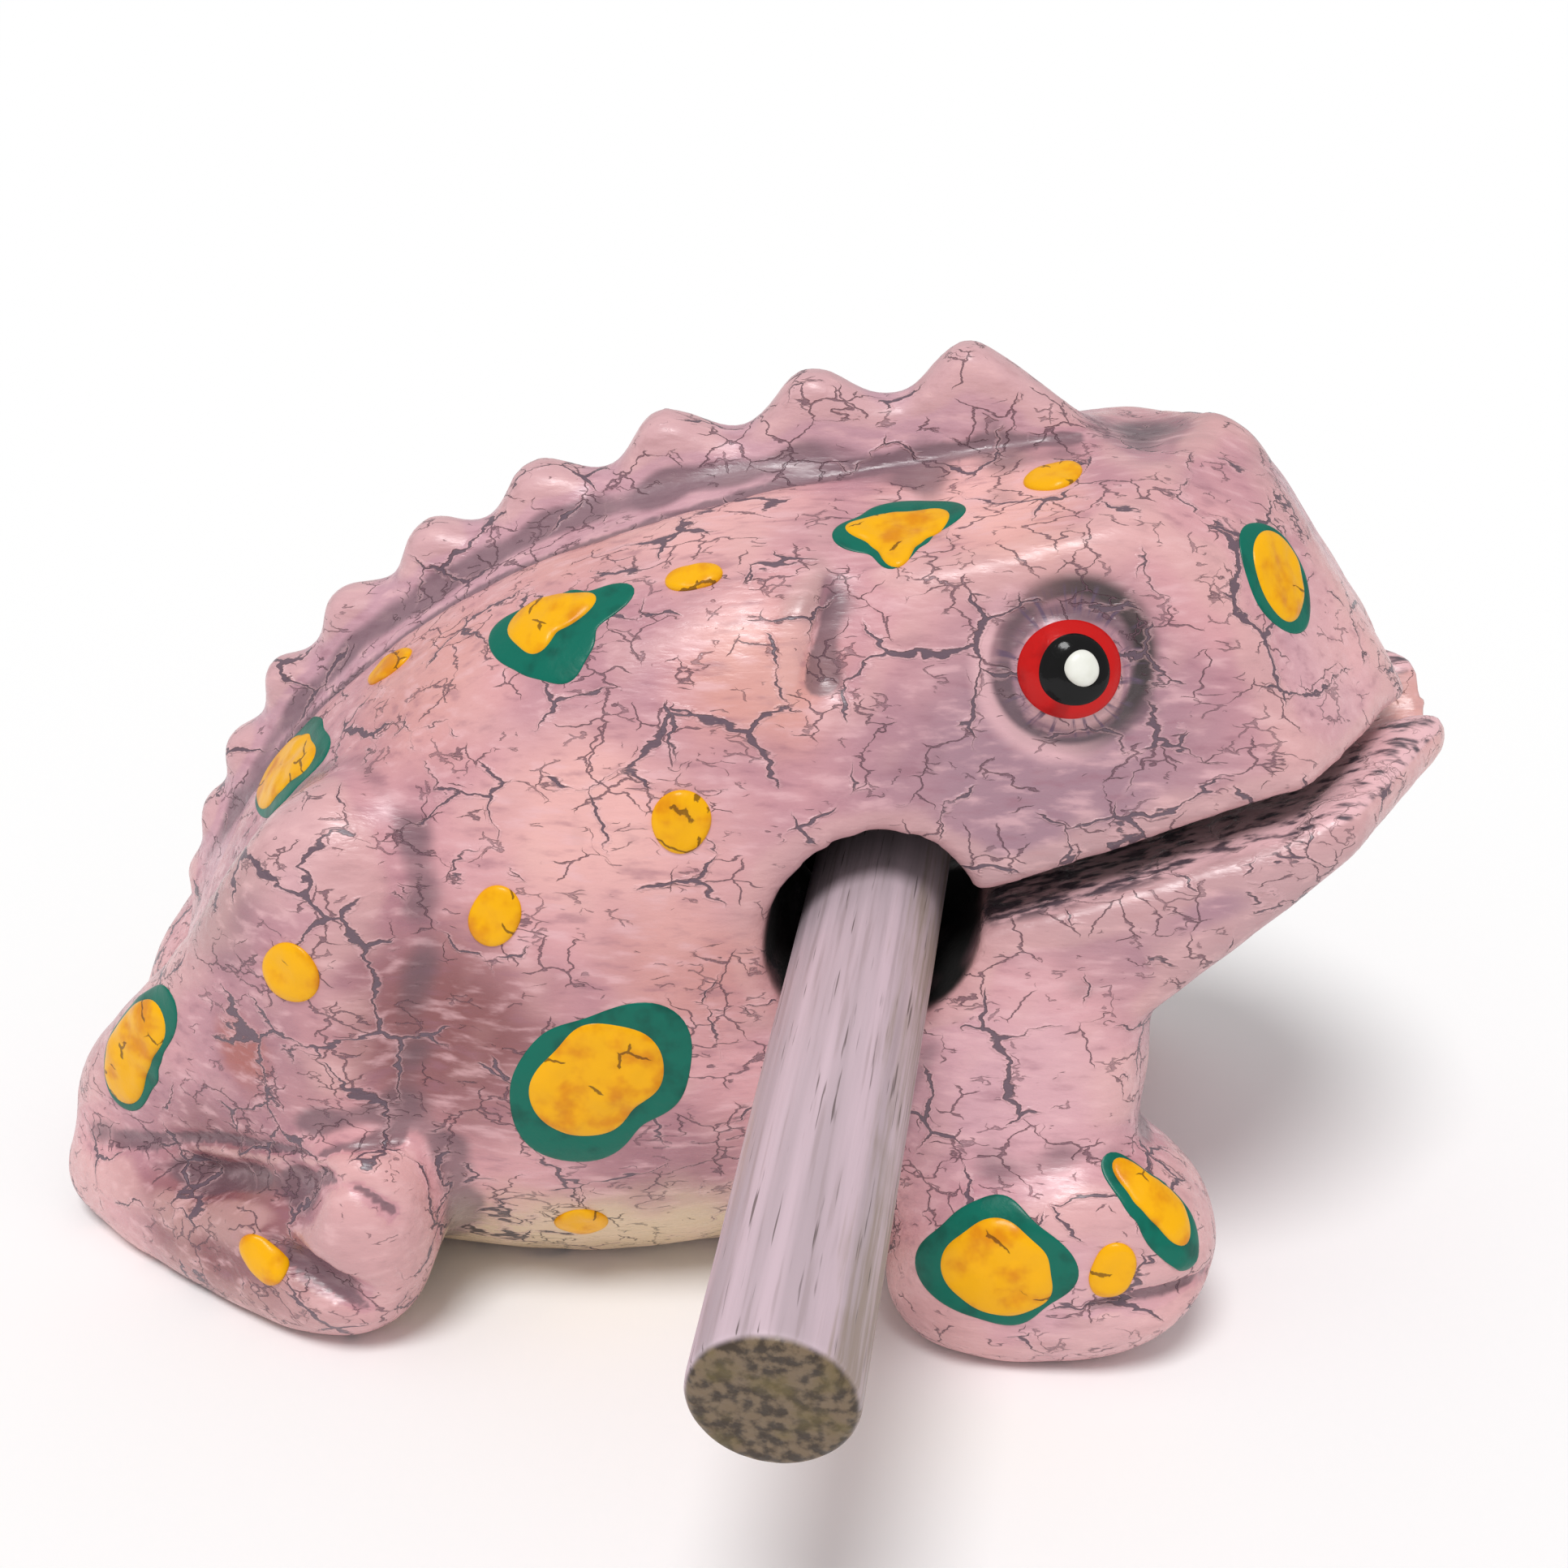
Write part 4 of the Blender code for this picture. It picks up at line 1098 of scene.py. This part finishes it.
SPOTS = (
    Spot("snout_spot", (53.7, -16.8, 84.8), (0.67, -0.56, 0.49),
         Outline((0.2, -0.3), (4.0, 4.4, 4.8, 5.1, 4.7, 4.1, 3.8, 3.8, 4.1, 4.5, 4.8, 4.9, 4.6, 4.3, 4.1, 3.9)),
         Outline((0.0, 0.0), (5.3, 6.0, 6.4, 6.0, 5.4, 5.1, 4.9, 4.9, 5.3, 6.0, 6.4, 6.0, 5.4, 5.0, 4.8, 4.9))),
    Spot("brow_spot", (14.2, -16.9, 88.7), (-0.05, -0.28, 0.96),
         Outline((-0.1, 0.8), (4.6, 3.4, 3.4, 4.4, 6.0, 4.2, 3.5, 3.7, 5.3, 5.0, 4.1, 3.8, 3.9, 4.6, 6.2, 6.0)),
         Outline((0.0, 0.0), (5.6, 4.0, 4.2, 4.9, 6.8, 5.6, 5.4, 6.9, 6.4, 4.9, 4.7, 4.8, 5.3, 6.2, 7.2, 7.6))),
    Spot("shoulder_spot", (-21.2, -24.0, 79.3), (-0.35, -0.49, 0.80),
         Outline((-0.8, -1.5), (4.9, 3.7, 3.0, 3.2, 4.4, 4.6, 4.3, 4.5, 4.8, 4.5, 4.0, 3.6, 3.4, 3.6, 4.3, 5.6)),
         Outline((0.0, 0.0), (6.2, 5.4, 5.9, 6.8, 6.4, 5.9, 5.9, 6.7, 7.7, 7.7, 5.9, 5.1, 4.9, 5.5, 6.6, 9.4))),
    Spot("rump_spot", (-52.8, -14.4, 58.5), (-0.77, -0.26, 0.59),
         Outline((-1.0, 0.0), (6.0, 7.6, 5.4, 4.1, 3.9, 4.3, 5.0, 5.8, 6.7, 7.2, 5.9, 5.0, 4.6, 4.4, 4.5, 5.1)),
         Outline((0.0, 0.0), (7.4, 9.4, 7.4, 6.2, 5.9, 6.2, 6.6, 7.2, 8.2, 8.6, 7.2, 7.0, 6.7, 6.3, 6.2, 6.4))),
    Spot("knee_spot", (-69.0, -27.1, 29.1), (-0.59, -0.80, 0.12),
         Outline((-1.1, 1.1), (3.6, 3.1, 3.0, 3.6, 5.8, 8.2, 8.0, 6.0, 4.7, 4.0, 3.9, 4.3, 5.4, 7.4, 8.6, 5.8)),
         Outline((-0.4, 0.4), (4.4, 3.9, 4.2, 4.9, 6.8, 10.0, 9.4, 7.2, 5.6, 4.8, 4.6, 4.9, 6.0, 8.6, 10.4, 6.8))),
    Spot("belly_spot", (-15.2, -39.5, 33.9), (0.04, -1.00, -0.06),
         Outline((-0.4, -0.5), (7.1, 5.9, 5.4, 6.4, 7.3, 7.8, 8.0, 7.7, 6.9, 5.9, 5.6, 6.4, 7.1, 7.4, 8.1, 7.8)),
         Outline((0.0, 0.0), (9.2, 8.2, 7.0, 8.0, 10.4, 11.6, 11.6, 10.4, 9.4, 8.6, 8.3, 8.0, 8.6, 10.8, 12.0, 10.6))),
    Spot("forefoot_spot", (27.5, -42.2, 15.3), (-0.17, -0.97, 0.16),
         Outline((0.1, 0.8), (5.7, 6.3, 6.1, 5.8, 5.6, 5.5, 5.5, 6.0, 6.3, 5.9, 5.5, 5.8, 6.0, 5.7, 5.5, 5.7)),
         Outline((0.0, 0.2), (8.6, 8.0, 7.2, 7.7, 7.4, 7.2, 8.0, 9.2, 8.9, 7.3, 7.0, 7.1, 7.4, 6.8, 6.7, 7.6))),
    Spot("toe_spot", (44.6, -39.5, 21.4), (0.44, -0.62, 0.64),
         Outline((-0.3, -1.0), (3.5, 4.6, 5.8, 4.2, 2.7, 2.3, 2.2, 2.5, 3.1, 4.6, 6.0, 3.8, 2.5, 2.2, 2.3, 2.7)),
         Outline((0.0, 0.0), (4.6, 6.3, 7.5, 5.8, 4.2, 3.4, 3.0, 3.2, 4.1, 6.0, 7.9, 5.4, 3.7, 3.2, 3.2, 3.6))),
    Spot("brow_dot", (30.2, -11.2, 93.2), (-0.21, -0.21, 0.95),
         Outline((0.0, 0.0), (3.1, 2.7, 2.6, 2.7, 3.1, 2.7, 2.7, 3.4))),
    Spot("shoulder_dot", (-6.6, -22.5, 84.8), (-0.18, -0.46, 0.87),
         Outline((0.0, 0.0), (3.0, 2.0, 1.7, 2.3, 3.1, 2.1, 1.7, 2.4))),
    Spot("rump_dot", (-40.8, -14.9, 70.9), (-0.63, -0.24, 0.74),
         Outline((0.0, 0.0), (3.4, 2.6, 2.0, 2.3, 3.4, 2.8, 2.0, 2.3))),
    Spot("flank_dot", (-6.7, -35.7, 63.2), (0.04, -0.97, 0.23),
         Outline((0.0, 0.0), (3.0, 3.0, 3.4, 3.2, 3.1, 3.2, 3.3, 3.2))),
    Spot("side_dot", (-26.0, -37.4, 52.4), (-0.14, -0.97, 0.20),
         Outline((0.0, 0.0), (2.8, 2.7, 3.2, 3.3, 2.8, 2.7, 3.3, 3.3))),
    Spot("thigh_dot", (-47.8, -38.0, 45.1), (-0.34, -0.94, 0.04),
         Outline((0.0, 0.0), (3.5, 3.4, 3.4, 3.6, 3.6, 3.3, 3.5, 3.6))),
    Spot("heel_dot", (-52.9, -41.1, 10.7), (-0.33, -0.86, 0.38),
         Outline((0.0, 0.0), (3.0, 3.2, 2.7, 2.3, 2.9, 3.3, 2.6, 2.3))),
    Spot("belly_dot", (-18.6, -32.9, 11.9), (0.06, -0.84, -0.54),
         Outline((0.0, 0.0), (3.1, 3.0, 3.2, 3.0, 3.0, 2.9, 3.2, 3.1))),
    Spot("toe_dot", (39.8, -42.4, 15.2), (0.04, -1.00, 0.03),
         Outline((0.0, 0.0), (2.4, 2.6, 3.5, 3.1, 2.4, 2.6, 3.5, 3.1))),
)


class SpotWork:
    """All the painted spots of both sides."""

    YELLOW = DabPaint("dab_yellow", srgb(248, 180, 0), srgb(226, 142, 2), 0.34, 0.75)
    GREEN = DabPaint("ring_green", srgb(0, 108, 90), srgb(2, 86, 72), 0.36, 0.0)

    def build(self, surface: Surface) -> list[bpy.types.Object]:
        """Lay every spot on the skin.

        Args:
            surface: Skin under the spots.

        Returns:
            The patches.
        """
        yellow = self.YELLOW.build()
        green = self.GREEN.build()
        made = []
        for side in Side:
            for spot in SPOTS:
                if spot.ring:
                    ring = Patch(f"{spot.name}_ring", spot.centre_mm, spot.out, spot.ring, 0.00016, 14.0)
                    made.append(dressed(ring.build(surface, side), green))
                dab = Patch(f"{spot.name}_dab", spot.centre_mm, spot.out, spot.dab, 0.00060, 5.0)
                made.append(dressed(dab.build(surface, side), yellow))
        LOG.info("spots: %d layers", len(made))
        return made


@dataclass(frozen=True)
class EyeLayer:
    """One round layer of paint on the eye's dome."""

    paint: DabPaint
    outline: Outline
    lift: float
    dome: float


EYE_LAYERS = (
    EyeLayer(DabPaint("eye_red", srgb(200, 18, 16), srgb(166, 10, 12), 0.28, 0.0),
             Outline((0.0, 0.0), (5.2, 5.1, 5.0, 5.2, 5.3, 5.1, 5.0, 5.2)), 0.00016, 14.0),
    EyeLayer(DabPaint("eye_black", srgb(13, 12, 13), srgb(8, 8, 8), 0.12, 0.0),
             Outline((0.3, 0.0), (3.6, 3.7, 3.6, 3.7, 3.6, 3.6, 3.7, 3.6)), 0.00034, 10.0),
    EyeLayer(DabPaint("eye_white", srgb(238, 238, 230), srgb(224, 224, 212), 0.30, 0.0),
             Outline((0.9, -0.2), (1.8, 1.9, 1.8, 1.7, 1.8, 1.8, 1.9, 1.8)), 0.00075, 4.0),
)


@dataclass
class Eyes:
    """Red ring, black pupil and white glint painted on each eye's dome."""

    centre_mm: tuple[float, float, float] = (32.2, -29.9, 78.8)
    out: tuple[float, float, float] = (0.06, -0.95, 0.30)

    def build(self, surface: Surface) -> list[bpy.types.Object]:
        """Paint both eyes.

        Args:
            surface: Skin under the paint.

        Returns:
            The layers.
        """
        made = []
        for layer in EYE_LAYERS:
            finish = layer.paint.build()
            for side in Side:
                patch = Patch(layer.paint.name, self.centre_mm, self.out, layer.outline, layer.lift,
                              layer.dome)
                made.append(dressed(patch.build(surface, side), finish))
        LOG.info("eyes: %d layers", len(made))
        return made


@dataclass
class Stick:
    """The striker stick: a hand-turned rod with rounded rims."""

    rim: float = 0.0013
    count: int = 112
    length_rows: int = 150
    face_rows: int = 9

    def axis(self) -> tuple[np.ndarray, np.ndarray, float, float]:
        """Middle, direction, length and radius of the stick's solid."""
        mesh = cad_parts["striker_stick"].data
        points = np.empty(len(mesh.vertices) * 3)
        mesh.vertices.foreach_get("co", points)
        points = points.reshape(-1, 3)
        middle = (points.min(axis=0) + points.max(axis=0)) / 2
        _, _, ways = np.linalg.svd(points - middle, full_matrices=False)
        run = ways[0] * (1.0 if ways[0][1] > 0 else -1.0)
        along = (points - middle) @ run
        radius = np.linalg.norm(points - middle - along[:, None] * run, axis=1).max()
        middle = middle + run * (along.min() + along.max()) / 2
        return middle, run, float(along.max() - along.min()), float(radius)

    def build(self) -> bpy.types.Object:
        """Carry the profile round the stick's axis.

        The radius is the profile's radius, less a shallow hollow made of waves
        that run far along the stick and change fast round it, as hand-planed
        wood has.

        Returns:
            The stick.
        """
        middle, run, length, radius = self.axis()
        side = np.cross(run, (0.0, 0.0, 1.0))
        side /= np.linalg.norm(side)
        up = np.cross(side, run)
        face = np.linspace(0.10, 1.0, self.face_rows) * (radius - self.rim)
        corner = np.linspace(0.0, math.pi / 2, 8)[1:]
        reach = np.concatenate([face, radius - self.rim + self.rim * np.sin(corner)])
        back = np.concatenate([np.zeros_like(face), self.rim - self.rim * np.cos(corner)])
        body = np.linspace(self.rim, length - self.rim, self.length_rows)[1:-1]
        radii = np.concatenate([reach, np.full(body.size, radius), reach[::-1]])
        spots = np.concatenate([back, body, length - back[::-1]]) - length / 2
        turn = np.arange(self.count) / self.count * 2 * math.pi
        unit = np.cos(turn)[:, None] * side + np.sin(turn)[:, None] * up
        grain = np.stack([np.cos(turn)[None, :] * 0.0075 + 0 * spots[:, None],
                          np.sin(turn)[None, :] * 0.0075 + 0 * spots[:, None],
                          0 * turn[None, :] + spots[:, None] * 0.06], axis=-1)
        hollow = waves(grain.reshape(-1, 3), 0.0028, 20, 3).reshape(spots.size, turn.size)
        sway = waves(grain.reshape(-1, 3) * 0.4, 0.0080, 8, 4).reshape(spots.size, turn.size)
        depth = (0.00003 * (1.0 + hollow) + 0.00008 * (1.0 + sway)) * np.minimum(1.0, radii / radius)[:, None]
        rows = (middle + spots[:, None, None] * run
                + (radii[:, None] - np.maximum(depth, 0.0))[..., None] * unit[None])
        points, faces = closed_rows(rows, middle - run * length / 2, middle + run * length / 2)
        item = mesh_of("striker_stick_turned", points, faces)
        self.dress(item, middle, run, length)
        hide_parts("striker_stick")
        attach(item, BODY)
        LOG.info("stick: %d faces", len(faces))
        return item

    def dress(self, item: bpy.types.Object, middle: np.ndarray, run: np.ndarray, length: float) -> None:
        """Thin lilac paint along the grain, rubbed through to olive-brown wood.

        Args:
            item: The stick.
            middle: Middle of the stick.
            run: Direction of the stick.
            length: Length of the stick.
        """
        mesh = item.data
        points = np.empty(len(mesh.vertices) * 3)
        mesh.vertices.foreach_get("co", points)
        points = points.reshape(-1, 3) - middle
        along = points @ run
        side = np.cross(run, (0.0, 0.0, 1.0))
        side /= np.linalg.norm(side)
        up = np.cross(side, run)
        local = np.stack([points @ side, points @ up, along], axis=1)
        layer = mesh.attributes.new("grain", "FLOAT_VECTOR", "POINT")
        layer.data.foreach_set("vector", local.astype(np.float32).ravel())
        graph = Graph("stick_lilac_paint")
        place = graph.add("ShaderNodeAttribute", attribute_name="grain").outputs["Vector"]
        node = graph.add("ShaderNodeMapping")
        graph.put(node.inputs["Vector"], place)
        node.inputs["Scale"].default_value = (1.0, 1.0, 0.045)
        lengthwise = node.outputs["Vector"]
        parts = graph.add("ShaderNodeSeparateXYZ")
        graph.put(parts.inputs[0], place)
        lines = graph.noise(lengthwise, 0.00075, 5.0)
        broad = graph.noise(lengthwise, 0.0030, 3.0)
        patches = graph.noise(place, 0.014, 3.0)
        color = graph.mix(graph.band(broad, 0.36, 0.64), srgb(190, 170, 178), srgb(214, 190, 200))
        color = graph.mix(graph.band(lines, 0.46, 0.32, 0.0, 0.32), color, srgb(156, 136, 136))
        wear = graph.math("ADD", graph.band(parts.outputs[0], 0.001, 0.0075, 0.0, 0.40),
                          graph.math("ADD", graph.math("MULTIPLY", lines, 0.7), graph.math("MULTIPLY", patches, 0.5)))
        color = graph.mix(graph.band(wear, 0.80, 1.12, 0.0, 0.75), color, srgb(142, 124, 104))
        pits = graph.band(graph.noise(lengthwise, 0.00050, 2.0), 0.36, 0.28, 0.0, 0.75)
        color = graph.mix(pits, color, srgb(78, 66, 60))
        end = graph.band(graph.math("ABSOLUTE", parts.outputs[2]), length / 2 - 0.0009, length / 2 - 0.0003)
        speckle = graph.noise(place, 0.0011, 4.0)
        face = graph.mix(graph.band(speckle, 0.38, 0.62), srgb(62, 48, 36), srgb(122, 102, 80))
        face = graph.mix(graph.band(graph.noise(place, 0.004, 2.0), 0.50, 0.70, 0.0, 0.6), face, srgb(112, 96, 50))
        color = graph.mix(end, color, face)
        height = graph.math("ADD", graph.math("MULTIPLY", lines, 0.8), graph.math("MULTIPLY", speckle, end))
        normal = graph.bump(height, 0.00010)
        mesh.materials.append(graph.finish(color, graph.band(lines, 0.35, 0.65, 0.42, 0.62), normal))


@dataclass
class Studio:
    """Pale floor, soft lights and the camera."""

    azimuth: float = math.radians(3.0)
    elevation: float = math.radians(24.2)
    roll: float = math.radians(0.8)
    lens_pixels: float = 2900.0
    anchor: tuple[float, float, float] = (0.013, -0.033, 0.050)
    anchor_pixel: tuple[float, float] = (1075.0, 1148.0)
    distance: float = 0.247
    sensor: float = 36.0

    def camera(self) -> bpy.types.Object:
        """Camera that puts the anchor at its pixel from the given angle.

        Returns:
            The camera.
        """
        back = np.array([math.sin(self.azimuth) * math.cos(self.elevation),
                         -math.cos(self.azimuth) * math.cos(self.elevation), math.sin(self.elevation)])
        level = np.array([math.cos(self.azimuth), math.sin(self.azimuth), 0.0])
        rise = np.cross(level, -back)
        right = level * math.cos(self.roll) + rise * math.sin(self.roll)
        up = rise * math.cos(self.roll) - level * math.sin(self.roll)
        middle = IMAGE_PIXELS / 2
        ray = (-back * self.lens_pixels + right * (self.anchor_pixel[0] - middle)
               - up * (self.anchor_pixel[1] - middle))
        ray /= np.linalg.norm(ray)
        spot = np.array(self.anchor) - ray * self.distance
        data = bpy.data.cameras.new("camera")
        data.sensor_width = self.sensor
        data.lens = self.lens_pixels * self.sensor / IMAGE_PIXELS
        data.clip_start = 0.01
        data.clip_end = 20.0
        item = bpy.data.objects.new("camera", data)
        bpy.context.scene.collection.objects.link(item)
        turn = Matrix((right, up, back)).transposed().to_4x4()
        item.matrix_world = Matrix.Translation(Vector(spot)) @ turn
        bpy.context.scene.camera = item
        return item

    def floor(self) -> bpy.types.Object:
        """Wide pale floor just under the soles.

        Returns:
            The floor.
        """
        turn = np.arange(64) / 64 * 2 * math.pi
        reach = np.array([0.4, 2.0, 6.0])
        rows = np.stack([reach[:, None] * np.cos(turn), reach[:, None] * np.sin(turn),
                         np.zeros((3, 64))], axis=-1)
        rows = np.concatenate([rows, rows[::-1] - (0.0, 0.0, 0.01)])
        points, faces = closed_rows(rows, np.zeros(3), np.array([0.0, 0.0, -0.01]))
        item = mesh_of("floor", points - (0.0, 0.0, 0.0003), faces)
        graph = Graph("floor_white")
        item.data.materials.append(graph.finish(srgb(255, 255, 255), 0.9, specular=0.0))
        return item

    def light(self, name: str, azimuth: float, elevation: float, strength: float, spread: float) -> None:
        """Even light from one side.

        Args:
            name: Name of the light.
            azimuth: Degrees round from the near side, toward the head.
            elevation: Degrees up.
            strength: Strength in watts a square metre.
            spread: Width of the light as seen from the frog, in degrees.
        """
        around = math.radians(azimuth)
        rise = math.radians(elevation)
        way = Vector((math.sin(around) * math.cos(rise), -math.cos(around) * math.cos(rise), math.sin(rise)))
        data = bpy.data.lights.new(name, "SUN")
        data.energy = strength
        data.angle = math.radians(spread)
        item = bpy.data.objects.new(name, data)
        bpy.context.scene.collection.objects.link(item)
        item.rotation_euler = way.to_track_quat("Z", "Y").to_euler()

    def world(self) -> None:
        """Even pale surround, white to the camera and in reflections of the floor."""
        made = bpy.data.worlds.new("surround")
        made.use_nodes = True
        tree = made.node_tree
        shade = tree.nodes["Background"]
        shade.inputs["Color"].default_value = (1.0, 1.0, 1.0, 1.0)
        path = tree.nodes.new("ShaderNodeLightPath")
        pick = tree.nodes.new("ShaderNodeMapRange")
        tree.links.new(path.outputs["Is Camera Ray"], pick.inputs["Value"])
        pick.inputs["To Min"].default_value = 0.50
        pick.inputs["To Max"].default_value = 1.0
        tree.links.new(pick.outputs["Result"], shade.inputs["Strength"])
        bpy.context.scene.world = made

    def build(self) -> None:
        """Set the whole stage."""
        self.camera()
        self.floor()
        self.light("key", -12.0, 64.0, 1.75, 22.0)
        self.world()
        bpy.context.scene.view_settings.view_transform = "Standard"
        LOG.info("studio ready")


def main() -> None:
    """Build the scene in order: stage, skin, spots, eyes and stick."""
    Studio().build()
    surface = FrogSkin().build()
    SpotWork().build(surface)
    Eyes().build(surface)
    Stick().build()


if __name__ == "__main__":
    logging.basicConfig(level=logging.INFO)
    main()
